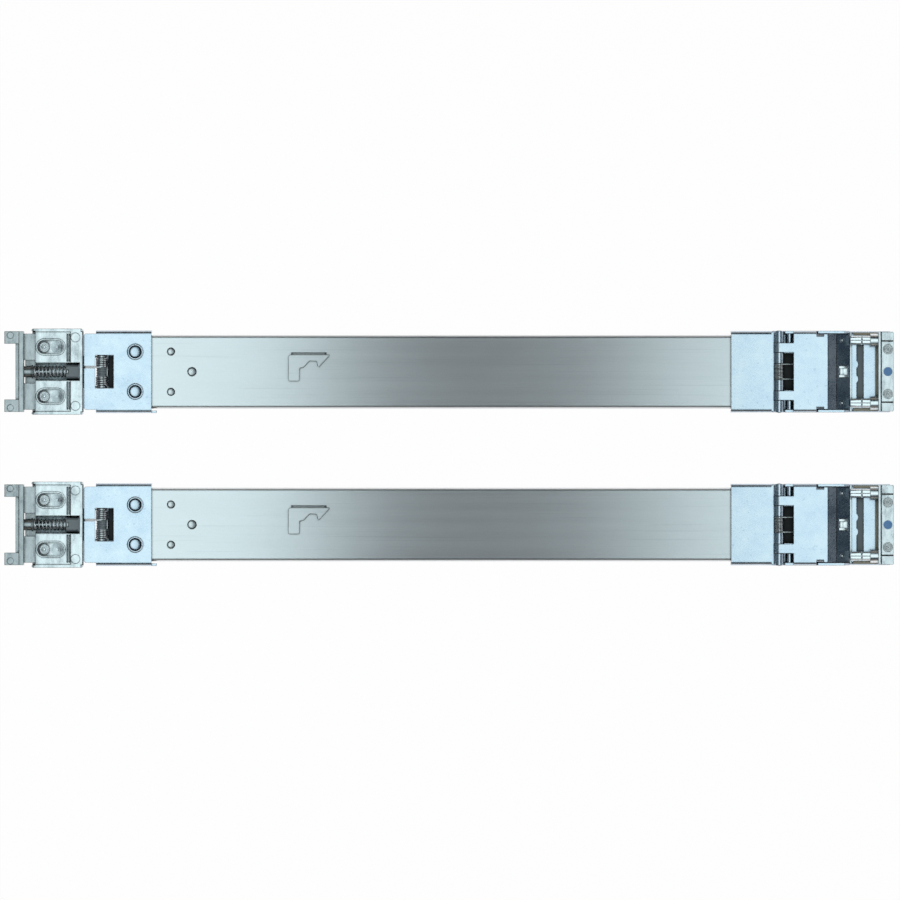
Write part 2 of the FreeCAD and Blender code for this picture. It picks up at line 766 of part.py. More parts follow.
def rear_bracket():
    """Zinc-plated channel that rides over the rear of the outer member."""
    y = bracket_half_height - bracket_wall / 2
    z = bracket_top - bracket_wall / 2
    half = [(y, z), (y, bracket_lip_bottom)]
    radii = [bend_radius, 0]
    face = sheet(both_sides(half), radii[::-1] + radii, bracket_wall, yz(bracket_lip_x))
    shell = face.extrude(Vector(bracket_front_x - bracket_lip_x, 0, 0))
    neck = outline(
        [
            (bracket_rear_x, -bracket_neck_half_height),
            (bracket_lip_x + 1, -bracket_neck_half_height),
            (bracket_lip_x + 1, bracket_neck_half_height),
            (bracket_rear_x, bracket_neck_half_height),
        ],
        [bracket_corner, 0, 0, bracket_corner], xy(bracket_bottom),
    ).extrude(Vector(0, 0, bracket_wall))
    shell = shell.fuse(neck)
    ear = outline(
        [
            (bracket_front_x - bracket_ear_root, bracket_lip_bottom + bracket_ear_bottom),
            (bracket_front_x + bracket_ear_foot, bracket_lip_bottom + bracket_ear_bottom),
            (bracket_front_x + bracket_ear_reach, bracket_top - bracket_ear_top),
            (bracket_front_x - bracket_ear_root, bracket_top - bracket_ear_top),
        ],
        [0, wall_corner, wall_corner, 0], xz(-bracket_half_height),
    ).extrude(Vector(0, bracket_wall, 0))
    shell = shell.fuse(ear)
    shell = shell.cut(box(window_x0, window_x1, -window_half_height, window_half_height,
                          bracket_bottom - 1, bracket_top + 1))
    shell = shell.cut(box(bracket_rear_x - 1, window_x0 + 1, leg_y - leg_slit / 2,
                          leg_y + leg_slit / 2, bracket_bottom - 1, bracket_top + 1))
    reach = window_half_height + lug_wall
    saddle = box(pivot_x - lug_radius, window_x1, -reach, reach, saddle_bottom, saddle_top)
    shell = shell.fuse(saddle)
    for side in (-1, 1):
        foot = Vector(screw_hole_x, side * screw_hole_y, bracket_top)
        rim = Part.makeCone(screw_rim_radius, screw_rim_radius - rivet_edge, screw_rim_height, foot)
        low = Vector(screw_hole_x, side * screw_hole_y, bracket_bottom - 1)
        hole = rod(low, low + Vector(0, 0, bracket_wall + screw_rim_height + 2), screw_hole_radius)
        shell = shell.fuse(rim).cut(hole)
        shell = shell.fuse(pivot_lug(side))
    return shell.removeSplitter()


def pivot_pin():
    """Shaft that the rear head swings on, staked at both ends."""
    half = pivot_half_length
    pin = rod(Vector(pivot_x, -half, pivot_z), Vector(pivot_x, half, pivot_z), pivot_radius)
    return pin.makeChamfer(pivot_chamfer, round_edges(pin))


def pivot_spring():
    """Double torsion spring: two coil groups on a sleeve, with a leg that loads the head."""
    outside = window_half_height - running_gap - strap_wall - running_gap
    inside = leg_y
    radius = pivot_spring_radius
    spring = coil_body(inside, outside, pivot_x, pivot_z, radius, pivot_wire)
    spring = spring.fuse(coil_body(-outside, -inside, pivot_x, pivot_z, radius, pivot_wire))
    sleeve = tube(Vector(pivot_x, -inside, pivot_z), Vector(pivot_x, inside, pivot_z),
                  radius - pivot_wire / 2, radius - pivot_wire)
    leg_z = pivot_z + radius - pivot_leg_wire - pivot_spring_proud
    leg = rod(Vector(pivot_x, inside, leg_z),
              Vector(bracket_rear_x + running_gap, inside, leg_z), pivot_leg_wire)
    tail_x = pivot_x + radius - pivot_leg_wire
    tail_y = -outside + pivot_wire / 2
    tail = rod(Vector(tail_x, tail_y, pivot_z), Vector(tail_x, tail_y, saddle_top), pivot_leg_wire)
    return spring.fuse(sleeve).fuse(leg).fuse(tail)


# ---------------------------------------------------------------- rear head group
def hinge_strap():
    """Riveted strap whose two eyes turn on the rear pivot pin."""
    half = window_half_height - running_gap
    x0 = head_front_x
    x1 = x0 + strap_wall
    strap = box(x0, x1, -half, half, strap_bottom, pivot_z)
    for side in (-1, 1):
        y0 = min(side * half, side * (half - strap_wall))
        y1 = y0 + strap_wall
        ear = even(
            [(x0, strap_bottom), (pivot_x - 1, pivot_z - strap_eye_radius), (pivot_x, pivot_z),
             (x0, pivot_z)],
            0, xz(y0),
        ).extrude(Vector(0, strap_wall, 0))
        eye = rod(Vector(pivot_x, y0, pivot_z), Vector(pivot_x, y1, pivot_z), strap_eye_radius)
        hole = rod(Vector(pivot_x, y0 - 1, pivot_z), Vector(pivot_x, y1 + 1, pivot_z),
                   pivot_radius + bearing_gap)
        strap = strap.fuse(ear).fuse(eye).cut(hole)
    return strap.removeSplitter()


def rear_head():
    """Die-cast latch body with side walls, slotted web, channel and rim."""
    x0, x1 = head_rear_x, head_front_x
    wide = head_half_height
    inside = wide - head_side_wall
    tray_x = head_wall_x + tray_overlap
    tray_y = tray_half_height
    floor_top_z = head_bottom + head_floor
    rim_top = head_top + head_rim_rise
    above = rim_top + 1
    body = even([(head_wall_x, -wide), (x1, -wide), (x1, wide), (head_wall_x, wide)],
                head_corner, xy(head_bottom)).extrude(Vector(0, 0, head_top - head_bottom))
    tray = even([(x0, -tray_y), (tray_x, -tray_y), (tray_x, tray_y), (x0, tray_y)],
                head_corner, xy(head_bottom)).extrude(Vector(0, 0, head_floor))
    rim = box(x1 - head_rim_width, x1, -inside, inside, wing_top, rim_top)
    body = body.fuse(tray).fuse(rim)
    for side in (-1, 1):
        y0, y1 = sorted((side * inside, side * wide))
        body = body.fuse(box(head_wall_x + head_corner, x1 - head_corner, y0, y1, wing_top, rim_top))
    open_tray = box(x0 - 1, head_web_x, -inside, inside, floor_top_z, above)
    room_y = inside - wing_room_margin
    wing_room = box(x0 - 1, x1 - wing_room_inset, -room_y, room_y,
                    wing_top - wing_wall - running_gap, wing_top + running_gap)
    channel_x = x1 - head_front_wall
    channel = box(x0 - 1, channel_x, -channel_radius, channel_radius, channel_z, above)
    round_bottom = rod(Vector(x0 - 1, 0, channel_z), Vector(channel_x, 0, channel_z), channel_radius)
    body = body.cut(open_tray).cut(wing_room).cut(channel.fuse(round_bottom))
    relief_y = yoke_half_height + running_gap
    body = body.cut(box(x0 - 1, yoke_front_x + yoke_travel + running_gap, -relief_y, relief_y,
                        yoke_bottom - running_gap, above))
    slot_end = stud_x + stud_slot_length
    for side in (-1, 1):
        y = side * stud_y
        ring = obround(stud_x, slot_end, y, stud_slot_radius + stud_rim, head_top,
                       head_top + stud_rim_height)
        body = body.fuse(ring)
        body = body.cut(obround(stud_x, slot_end, y, stud_slot_radius, wing_top, above))
        for setback in groove_setbacks:
            x = x1 - head_rim_width - setback
            y0, y1 = sorted((side * (channel_radius + wing_room_margin),
                             side * (inside - groove_inset)))
            body = body.cut(box(x, x + groove_width, y0, y1, head_top - groove_depth, above))
        boss = Vector(x1 - boss_inset, side * boss_y, rim_top)
        body = body.fuse(Part.makeCylinder(boss_radius, boss_height, boss))
        end_y, web_y = tray_rib_y
        rib = even(
            [
                (x0 + 1, side * end_y),
                (head_web_x, side * web_y),
                (head_web_x, side * (web_y - tray_rib_wall)),
                (x0 + 1, side * (end_y - tray_rib_wall)),
            ],
            0, xy(floor_top_z),
        ).extrude(Vector(0, 0, tray_rib_height))
        body = body.fuse(rib)
    return body.removeSplitter()


def spring_seat():
    """Half-round cup at the inner end of the channel that the latch spring pushes on."""
    x0, x1 = seat_rear_x, seat_front_x
    cup = rod(Vector(x0, 0, channel_z), Vector(x1, 0, channel_z), seat_radius)
    flange = rod(Vector(x1 - seat_flange, 0, channel_z), Vector(x1, 0, channel_z),
                 seat_flange_radius)
    bore = rod(Vector(x0 - 1, 0, channel_z), Vector(x1 - seat_flange, 0, channel_z),
               rod_radius + running_gap)
    recess = rod(Vector(x0 - 1, 0, channel_z), Vector(x0 + seat_recess, 0, channel_z),
                 latch_spring_radius + latch_spring_wire + spring_end_gap)
    flat = box(x0 - 1, x1 + 1, -seat_flange_radius, seat_flange_radius,
               channel_z + seat_radius - seat_flat, channel_z + seat_flange_radius)
    return cup.fuse(flange).cut(bore).cut(recess).cut(flat).removeSplitter()


def latch_yoke():
    """Sliding fork: its two square prongs enter the holes of the rear post."""
    x0, x1 = yoke_bar_x, yoke_front_x
    wide = yoke_half_height
    prong_top = post_pin_z + prong_side / 2
    prong_bottom = post_pin_z - prong_side / 2
    bar_top = prong_top - yoke_bar_step
    yoke = box(x0, x1, -wide, wide, yoke_bottom, bar_top)
    yoke = yoke.cut(box(x0 - 1, x0 + yoke_rebate, -wide + prong_side, wide - prong_side,
                        bar_top - yoke_rebate_depth, bar_top + 1))
    for side in (-1, 1):
        y0, y1 = sorted((side * wide, side * (wide - prong_side)))
        prong = box(-half_length, x0 + yoke_rebate, y0, y1, prong_bottom, prong_top)
        mark = Vector(prong_mark_inset[0] - half_length, side * (wide - prong_mark_inset[1]),
                      prong_top)
        yoke = yoke.fuse(prong).fuse(Part.makeCylinder(prong_mark_radius, prong_mark_height, mark))
        w0, w1 = sorted((side * (channel_radius + wing_margin), side * (wide - wing_inset)))
        tip = stud_x + wing_reach
        root = x1 - yoke_rebate
        wing = even([(root, w0), (tip, w0), (tip, w1), (root, w1)],
                    head_corner, xy(wing_top - wing_wall)).extrude(Vector(0, 0, wing_wall))
        dish = Part.makeCone(dish_radius, dish_centre_radius, dish_depth,
                             Vector(stud_x + dish_reach, side * stud_y, wing_top), Vector(0, 0, -1))
        yoke = yoke.fuse(wing.cut(dish))
    centre = Vector(x1, 0, channel_z)
    plunger_end = centre + Vector(plunger_length, 0, 0)
    yoke = yoke.fuse(rod(centre - Vector(1, 0, 0), plunger_end, plunger_radius))
    yoke = yoke.fuse(rod(plunger_end - Vector(plunger_flange, 0, 0), plunger_end,
                         plunger_flange_radius))
    yoke = yoke.fuse(rod(centre, plunger_end + Vector(rod_length, 0, 0), rod_radius))
    return yoke.removeSplitter()


def guide_studs():
    """Turned studs on the yoke's wings that run in the slots of the head."""
    studs = []
    top = head_top + stud_proud
    for side in (-1, 1):
        foot = Vector(stud_x, side * stud_y, wing_top)
        face = Vector(stud_x, side * stud_y, top)
        down = Vector(0, 0, -stud_ring_depth)
        stud = rod(foot, face, stud_radius)
        stud = stud.cut(tube(face + down, face, *stud_ring))
        studs.append(stud.cut(rod(face + down, face, stud_dimple_radius)))
    return studs


def latch_spring():
    """Compression spring between the yoke's plunger and the seat."""
    clear = latch_spring_wire + spring_end_gap
    start = yoke_front_x + plunger_length + clear
    length = seat_rear_x + seat_recess - clear - start
    helix = Part.makeHelix(length / latch_spring_turns, length, latch_spring_radius)
    corners = [Vector(latch_spring_radius + latch_spring_wire * math.cos(math.pi * i / 2), 0,
                      latch_spring_wire * math.sin(math.pi * i / 2)) for i in range(5)]
    coil = Part.Wire(helix).makePipeShell([Part.makePolygon(corners)], True, True)
    coil.rotate(Vector(0, 0, 0), Vector(0, 1, 0), 90)
    coil.translate(Vector(start, 0, channel_z))
    return coil


# ---------------------------------------------------------------- front bracket group
def knuckle(y0, y1, plate_x):
    """Rolled eye on the hinge axis with the stretch of plate that it is rolled from."""
    eye = rod(Vector(hinge_x, y0, hinge_z), Vector(hinge_x, y1, hinge_z), barrel_radius)
    x0, x1 = sorted((hinge_x, plate_x))
    z0 = outer_top if plate_x < hinge_x else gate_top - front_wall
    eye = eye.fuse(box(x0, x1, y0, y1, z0, z0 + front_wall))
    bore = hinge_pin_radius + bearing_gap
    return eye.cut(rod(Vector(hinge_x, y0 - 1, hinge_z), Vector(hinge_x, y1 + 1, hinge_z), bore))


def front_bracket():
    """Fixed channel: plate over the outer member, step, floor under the gate, and side walls."""
    riser_x1 = hinge_x - barrel_radius - bearing_gap
    riser_x0 = riser_x1 - front_wall
    y = front_half_height - front_wall / 2
    high = [(y, outer_top + front_wall / 2), (y, front_flange_bottom)]
    radii = [bend_radius, 0]
    face = sheet(both_sides(high), radii[::-1] + radii, front_wall, yz(front_rear_x))
    shell = face.extrude(Vector(riser_x1 - front_rear_x, 0, 0))
    low = [(y, floor_bottom + floor_wall / 2), (y, front_flange_bottom)]
    floor_face = sheet(both_sides(low), radii[::-1] + radii, floor_wall, yz(riser_x0))
    floor = floor_face.extrude(Vector(half_length - ear_wall - riser_x0, 0, 0))
    riser = box(riser_x0, riser_x1, -y, y, floor_bottom, front_top)
    shell = shell.fuse(floor).fuse(riser)
    wall_rear_x = hinge_x + barrel_radius + running_gap
    wall_foot = floor_bottom - 2 * floor_wall
    for side in (-1, 1):
        y0, y1 = sorted((side * front_half_height, side * (front_half_height - front_wall)))
        wall = outline(
            [
                (wall_rear_x, wall_foot),
                (wall_rear_x, wall_low_top),
                (gate_step_x, wall_low_top),
                (gate_step_x + 1, wall_high_top),
                (gate_nose_x - 2 * front_wall, wall_high_top),
                (gate_nose_x, wall_high_top - 2 * front_wall),
                (gate_nose_x, wall_foot),
            ],
            [0, wall_corner, wall_corner, wall_corner, wall_corner, wall_corner, 0], xz(y0),
        ).extrude(Vector(0, y1 - y0, 0))
        shell = shell.fuse(wall)
        for near, far in (knuckle_outer, knuckle_inner):
            k0, k1 = sorted((side * near, side * far))
            shell = shell.fuse(knuckle(k0, k1, riser_x1 - front_wall / 2))
        y0, y1 = sorted((side * knuckle_outer[0], side * (front_half_height - front_wall)))
        bar_x = hinge_x + stop_bar_reach
        bar_z = floor_top + stop_bar_rise
        shell = shell.fuse(rod(Vector(bar_x, y0, bar_z), Vector(bar_x, y1, bar_z), stop_bar_radius))
    shell = shell.cut(hinge_window(floor_bottom - 1, floor_top + 1))
    return shell.cut(floor_trough()).removeSplitter()


def floor_trough():
    """Shallow trough across the floor of the post gap, with two round lobes left standing."""
    y = trough_half_height
    z = floor_top - trough_depth
    trough = box(gate_nose_x + trough_start, gate_nose_x + trough_end, -y, y, z, floor_top + 1)
    for side in (-1, 1):
        foot = Vector(gate_nose_x + lobe_inset, side * lobe_y, z)
        trough = trough.cut(Part.makeCylinder(lobe_radius, trough_depth + 1, foot))
    return trough


def front_hinge_pin():
    """Long pin through all the knuckles of the gate hinge."""
    half = front_half_height + hinge_pin_proud
    pin = rod(Vector(hinge_x, -half, hinge_z), Vector(hinge_x, half, hinge_z), hinge_pin_radius)
    return pin.makeChamfer(hinge_pin_chamfer, round_edges(pin))


def gate_point(x):
    """Height of the middle of the gate's sheet at a place along its sloping nose."""
    if x <= gate_bend_x:
        return gate_z
    if x <= gate_crease_x:
        return gate_z - gate_crease_drop * (x - gate_bend_x) / (gate_crease_x - gate_bend_x)
    share = (x - gate_crease_x) / (gate_nose_x - gate_crease_x)
    return gate_z - gate_crease_drop - (gate_nose_drop - gate_crease_drop) * share


def nose_normal():
    """Outward direction of the nose between its crease and its end."""
    run = gate_nose_x - gate_crease_x
    fall = gate_nose_drop - gate_crease_drop
    length = math.hypot(run, fall)
    return Vector(fall / length, 0, run / length)


def on_nose(x, y):
    """A point on the outer face of the nose."""
    return Vector(x, y, gate_point(x)) + nose_normal() * (front_wall / 2)


def gate_channel(x0, x1, half_height, bottom):
    """Flat stretch of the gate with both of its long edges bent down."""
    y = half_height - front_wall / 2
    radii = [tight_bend_radius, 0]
    face = sheet(both_sides([(y, gate_z), (y, bottom)]), radii[::-1] + radii, front_wall, yz(x0))
    return face.extrude(Vector(x1 - x0, 0, 0))


def front_gate():
    """Spring-loaded latch plate whose nose closes behind the front post."""
    path = [(gate_bend_x - nose_overlap, gate_z), (gate_bend_x, gate_z),
            (gate_crease_x, gate_z - gate_crease_drop), (gate_nose_x, gate_z - gate_nose_drop)]
    nose = sheet(path, [0, bend_radius, bend_radius, 0], front_wall, xz(-gate_narrow))
    gate = nose.extrude(Vector(0, 2 * gate_narrow, 0))
    foot = floor_top + gate_foot
    gate = gate.fuse(gate_channel(gate_step_x - front_wall, gate_bend_x, gate_narrow, foot))
    gate = gate.fuse(gate_channel(gate_window_x, gate_step_x, gate_wide, wall_low_top + gate_lip))
    for side in (-1, 1):
        k0, k1 = sorted((side * (knuckle_gate[0] + knuckle_gap),
                         side * (knuckle_gate[1] - knuckle_gap)))
        gate = gate.fuse(knuckle(k0, k1, gate_window_x + 1))
        y0, y1 = sorted((side * gate_narrow, side * (gate_narrow - front_wall)))
        cheek_end = gate_nose_x - front_wall
        cheek = outline(
            [
                (gate_bend_x - nose_overlap, gate_z),
                (gate_bend_x, gate_z),
                (gate_crease_x, gate_z - gate_crease_drop),
                (cheek_end, gate_point(cheek_end)),
                (cheek_end, foot),
                (gate_bend_x - nose_overlap, foot),
            ],
            [0, 0, 0, 0, wall_corner, 0], xz(y0),
        ).extrude(Vector(0, y1 - y0, 0))
        gate = gate.fuse(cheek)
    window = button_slab(button_gap)
    window.translate(nose_normal() * (-2 * front_wall))
    return gate.cut(window.extrude(nose_normal() * (4 * front_wall))).removeSplitter()


def button_slab(grow):
    """Outline of the release button in the middle of the nose's sheet, grown by a gap."""
    x = button_length / 2 + grow
    y = button_half_height + grow
    corners = [(button_x - x, -y), (button_x + x, -y), (button_x + x, y), (button_x - x, y)]
    return even(corners, button_corner, xy(gate_point(button_x)))


def release_button():
    """Small two-pronged button in the nose, pressed to free the gate."""
    slab = button_slab(0)
    slab.translate(nose_normal() * (-front_wall / 2))
    button = slab.extrude(nose_normal() * front_wall)
    x0 = button_x - button_length / 2 + button_prong_inset[0]
    x1 = button_x + button_length / 2 - button_prong_inset[1]
    for side in (-1, 1):
        y0, y1 = sorted((side * button_prong[0], side * button_prong[1]))
        prong = even([(x0, y0), (x1, y0), (x1, y1), (x0, y1)], button_corner,
                     xy(gate_point(button_x)))
        button = button.fuse(prong.extrude(nose_normal() * (front_wall / 2 + button_prong_rise)))
    return button.removeSplitter()


def gate_rivets():
    """Two domed rivet heads near the ends of the nose."""
    heads = []
    for side in (-1, 1):
        foot = on_nose(gate_nose_x - gate_rivet_setback, side * pin_y)
        heads.append(Part.makeCone(gate_rivet_radius, gate_rivet_radius - rivet_edge,
                                   gate_rivet_height, foot, nose_normal()))
    return heads


def gate_spring():
    """Torsion spring in the middle of the hinge, with two legs under the gate."""
    half = knuckle_inner[0] - knuckle_gap
    radius = barrel_radius - knuckle_gap
    spring = coil_body(-half, half, hinge_x, hinge_z, radius, gate_wire)
    wire = gate_wire * 0.4
    for side in (-1, 1):
        y = side * (half - gate_wire / 2)
        start = Vector(hinge_x, y, hinge_z + radius - gate_wire / 2)
        end = Vector(gate_window_x + gate_leg_reach, y, gate_top - front_wall - gate_leg_drop)
        spring = spring.fuse(rod(start, end, wire))
    return spring


# ---------------------------------------------------------------- front ear group
def front_ear():
    """Ear in front of the post, with a grooved outboard face."""
    x0 = ear_rear_x
    x1 = half_length
    wide = ear_half_height
    block = even([(x0, -wide), (x1, -wide), (x1, wide), (x0, wide)],
                 ear_corner, xy(floor_top)).extrude(Vector(0, 0, ear_top - floor_top))
    groove_x = x0 + ear_plate
    hollow = box(groove_x + ear_groove, x1 - ear_wall, -wide + ear_wall, wide - ear_wall,
                 floor_top - 1, ear_top - ear_wall)
    block = block.cut(hollow)
    block = block.cut(box(groove_x, groove_x + ear_groove, -wide - 1, wide + 1,
                          ear_top - ear_groove_depth, ear_top + 1))
    for side in (-1, 1):
        y = side * ear_line_y
        block = block.cut(box(groove_x, x1 + 1, y - ear_line / 2, y + ear_line / 2,
                              ear_top - ear_line_depth, ear_top + 1))
    return block.removeSplitter()


def post_pins():
    """Turned pins that enter the front post, each with a stepped collar at its root."""
    half_groove = post_pin_groove_width / 2
    groove_radius = post_pin_radius - post_pin_groove_depth
    profile = [
        (post_pin_tip_x, 0),
        (post_pin_tip_x, post_pin_radius - post_pin_chamfer[1]),
        (post_pin_tip_x + post_pin_chamfer[0], post_pin_radius),
        (post_pin_groove_x - half_groove, post_pin_radius),
        (post_pin_groove_x - half_groove, groove_radius),
        (post_pin_groove_x + half_groove, groove_radius),
        (post_pin_groove_x + half_groove, post_pin_radius),
        (collar_x, post_pin_radius),
        (collar_x, collar_small_radius),
        (collar_x + collar_step, collar_small_radius),
        (collar_x + collar_step, collar_radius),
        (ear_rear_x, collar_radius),
        (ear_rear_x, 0),
    ]
    pins = []
    for side in (-1, 1):
        points = [Vector(x, side * pin_y + r, post_pin_z) for x, r in profile]
        face = Part.Face(Part.makePolygon(points + points[:1]))
        axis = Vector(0, side * pin_y, post_pin_z)
        pins.append(face.revolve(axis, Vector(1, 0, 0), 360))
    return pins


def ear_rivets():
    """Two flat rivet heads on the ear's outboard face."""
    heads = []
    for side in (-1, 1):
        foot = Vector(ear_rivet_x, side * ear_rivet_y, ear_top)
        heads.append(Part.makeCone(ear_rivet_radius, ear_rivet_radius - rivet_edge,
                                   ear_rivet_height, foot))
    return heads


def marker():
    """Round touch-point marker in the middle of the ear."""
    foot = Vector(ear_rivet_x, 0, ear_top)
    return Part.makeCylinder(marker_radius, marker_height, foot)


# ---------------------------------------------------------------- both rails
def rail_pieces():
    """Every piece of one rail, drawn on the rail's own centre line."""
    return {
        "outer_member": outer_member(),
        "intermediate_member": middle_member(),
        "inner_member": inner_member(),
        "outer_ball_cage": outer_cage(),
        "outer_balls": balls(outer_cage_x, outer_ball_y, outer_ball_z),
        "inner_ball_cage": inner_cage(),
        "inner_balls": balls(inner_cage_x, inner_ball_y, inner_ball_z),
        "slide_stop": slide_stop(),
        "slide_release_lever": lever(release_pivot_x, release_lever_length, release_lever_tail),
        "chassis_lock_lever": lever(lock_pivot_x, lock_lever_length, lock_lever_tail),
        "depth_arm": extension_arm(),
        "rear_bracket": rear_bracket(),
        "rear_pivot_pin": pivot_pin(),
        "rear_pivot_spring": pivot_spring(),
        "rear_head": rear_head(),
        "rear_hinge_strap": hinge_strap(),
        "rear_latch_yoke": latch_yoke(),
        "rear_guide_studs": guide_studs(),
        "rear_latch_spring": latch_spring(),
        "rear_spring_seat": spring_seat(),
        "front_bracket": front_bracket(),
        "front_hinge_pin": front_hinge_pin(),
        "front_gate": front_gate(),
        "front_gate_spring": gate_spring(),
        "front_gate_rivets": gate_rivets(),
        "front_release_button": release_button(),
        "front_ear": front_ear(),
        "front_post_pins": post_pins(),
        "front_ear_rivets": ear_rivets(),
        "front_marker": marker(),
    }


os.makedirs("parts", exist_ok=True)
pieces = rail_pieces()
for rail, side in (("rail_a", 1), ("rail_b", -1)):
    for name, shape in pieces.items():
        solids = shape if isinstance(shape, list) else [shape]
        copies = [s.translated(Vector(0, side * rail_spacing / 2, 0)) for s in solids]
        node = copies[0] if len(copies) == 1 else Part.makeCompound(copies)
        node.exportStep("parts/%s_%s.step" % (rail, name))
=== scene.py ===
# %% [markdown]
# # Dressing a pair of sliding server rails
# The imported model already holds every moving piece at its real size, so this notebook adds the
# looks: a camera, soft light, a finish for each metal and plastic, and the small wound and turned
# pieces that are easier to shape here.  The first step loads the model and measures it.

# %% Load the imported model
import json
import math

import bmesh
import bpy
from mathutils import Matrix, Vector


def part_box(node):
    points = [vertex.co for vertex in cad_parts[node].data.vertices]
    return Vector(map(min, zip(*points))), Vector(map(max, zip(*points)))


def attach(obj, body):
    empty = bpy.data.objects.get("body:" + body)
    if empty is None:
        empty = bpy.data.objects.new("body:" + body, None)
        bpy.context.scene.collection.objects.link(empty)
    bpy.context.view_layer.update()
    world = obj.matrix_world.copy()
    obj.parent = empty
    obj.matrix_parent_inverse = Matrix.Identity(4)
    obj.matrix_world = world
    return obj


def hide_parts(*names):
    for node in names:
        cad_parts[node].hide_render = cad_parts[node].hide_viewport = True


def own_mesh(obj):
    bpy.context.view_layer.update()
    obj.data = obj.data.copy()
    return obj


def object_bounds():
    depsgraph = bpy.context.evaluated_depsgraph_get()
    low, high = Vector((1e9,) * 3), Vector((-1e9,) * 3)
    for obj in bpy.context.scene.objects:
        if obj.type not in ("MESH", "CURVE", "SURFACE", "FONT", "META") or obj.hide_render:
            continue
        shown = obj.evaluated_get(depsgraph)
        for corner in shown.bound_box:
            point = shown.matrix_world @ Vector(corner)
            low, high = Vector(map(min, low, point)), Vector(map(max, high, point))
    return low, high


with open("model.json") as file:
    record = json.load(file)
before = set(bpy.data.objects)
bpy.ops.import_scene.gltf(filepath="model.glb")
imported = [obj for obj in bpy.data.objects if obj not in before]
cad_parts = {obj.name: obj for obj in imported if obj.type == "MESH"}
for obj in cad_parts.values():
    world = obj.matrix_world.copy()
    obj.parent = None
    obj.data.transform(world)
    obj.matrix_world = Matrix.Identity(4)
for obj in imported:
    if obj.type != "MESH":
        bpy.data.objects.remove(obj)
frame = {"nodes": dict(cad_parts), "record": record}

MM = 0.001
cad_low, cad_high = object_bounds()
print("loaded", len(frame["nodes"]), "nodes, size in mm",
      [round(v / MM, 1) for v in cad_high - cad_low])

# %% [markdown]
# The two rails are copies of one another, side by side.  Every piece below is therefore modelled
# once, on the first rail, and copied to the second.  This cell finds each rail's centre line from
# its own outer member, and LINE is that of the first.

# %% Find the two rails
RAILS = ("rail_a", "rail_b")


def middle(node):
    """Centre of a node's box."""
    low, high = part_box(node)
    return (low + high) / 2


rail_y = {rail: middle(rail + "_outer_member").y for rail in RAILS}
LINE = rail_y["rail_a"]
print("centre lines in mm", {rail: round(y / MM, 2) for rail, y in rail_y.items()})

# %% [markdown]
# ## Camera, floor and light
# The pair is seen from straight above.  A long lens far away keeps both rails free of perspective,
# and the frame, measured at the height of the rails' tops, is a little wider than the rails are
# long.  The alternative, an orthographic camera, would crop the drawn-out slides from the side.

# %% Camera
FRAME_WIDTH = 0.639
RAIL_TOP = 0.014
LENS = 300.0
SENSOR = 36.0
CAMERA_X = 0.0007
CAMERA_Y = -0.0013
FAR_LIMIT = 20.0

camera_data = bpy.data.cameras.new("overhead_camera")
camera_data.lens = LENS
camera_data.sensor_width = SENSOR
camera_height = FRAME_WIDTH * LENS / SENSOR + RAIL_TOP
camera_data.clip_end = FAR_LIMIT
camera = bpy.data.objects.new("overhead_camera", camera_data)
camera.location = (CAMERA_X, CAMERA_Y, camera_height)
bpy.context.scene.collection.objects.link(camera)
bpy.context.scene.camera = camera
bpy.context.scene.view_settings.view_transform = "Standard"
print("camera", round(camera_height, 3), "m above the floor")

# %% [markdown]
# Shader maths reads best as plain expressions.  The alternative is to add and link each Math node
# by hand, which hides the recipe.  The small class below wraps a socket, so that
# `grain * 0.5 + 0.2` adds the Math nodes by itself.  A bare number goes on the right.

# %% Helper for shader maths
class Signal:
    """A number that varies over a surface, ready for arithmetic."""

    def __init__(self, finish, socket):
        self.finish = finish
        self.socket = socket

    def _maths(self, operation, other):
        """Add one Math node for this signal and a number or signal."""
        node = self.finish.node("ShaderNodeMath", {"operation": operation}, {0: self, 1: other})
        return Signal(self.finish, node.outputs[0])

    def __add__(self, other):
        return self._maths("ADD", other)

    def __sub__(self, other):
        return self._maths("SUBTRACT", other)

    def __mul__(self, other):
        return self._maths("MULTIPLY", other)

    def at_most(self, other):
        return self._maths("MINIMUM", other)


print("shader maths ready")

# %% [markdown]
# The `Finish` class owns one material's node tree.  `node` adds any node, with its settings first
# and its sockets' values or links after them, and the other methods are the patterns that metals
# and plastics share: noise, ramps, relief, shade painted into hollows and softened edges.

# %% Helper for node trees
RAY_SAMPLES = 6
CORNER_STOPS = [(0.30, 0.16), (0.88, 1.0)]
HOLLOW_START, HOLLOW_END = 0.06, 0.42


def fill_ramp(node, stops):
    """Put stops on a Color Ramp node."""
    ramp = node.color_ramp
    while len(ramp.elements) > 1:
        ramp.elements.remove(ramp.elements[-1])
    ramp.elements[0].position, ramp.elements[0].color = stops[0]
    for position, value in stops[1:]:
        ramp.elements.new(position).color = value


def colour(value):
    """A colour as four numbers, or a link left as it is."""
    return (*value, 1) if isinstance(value, tuple) else value


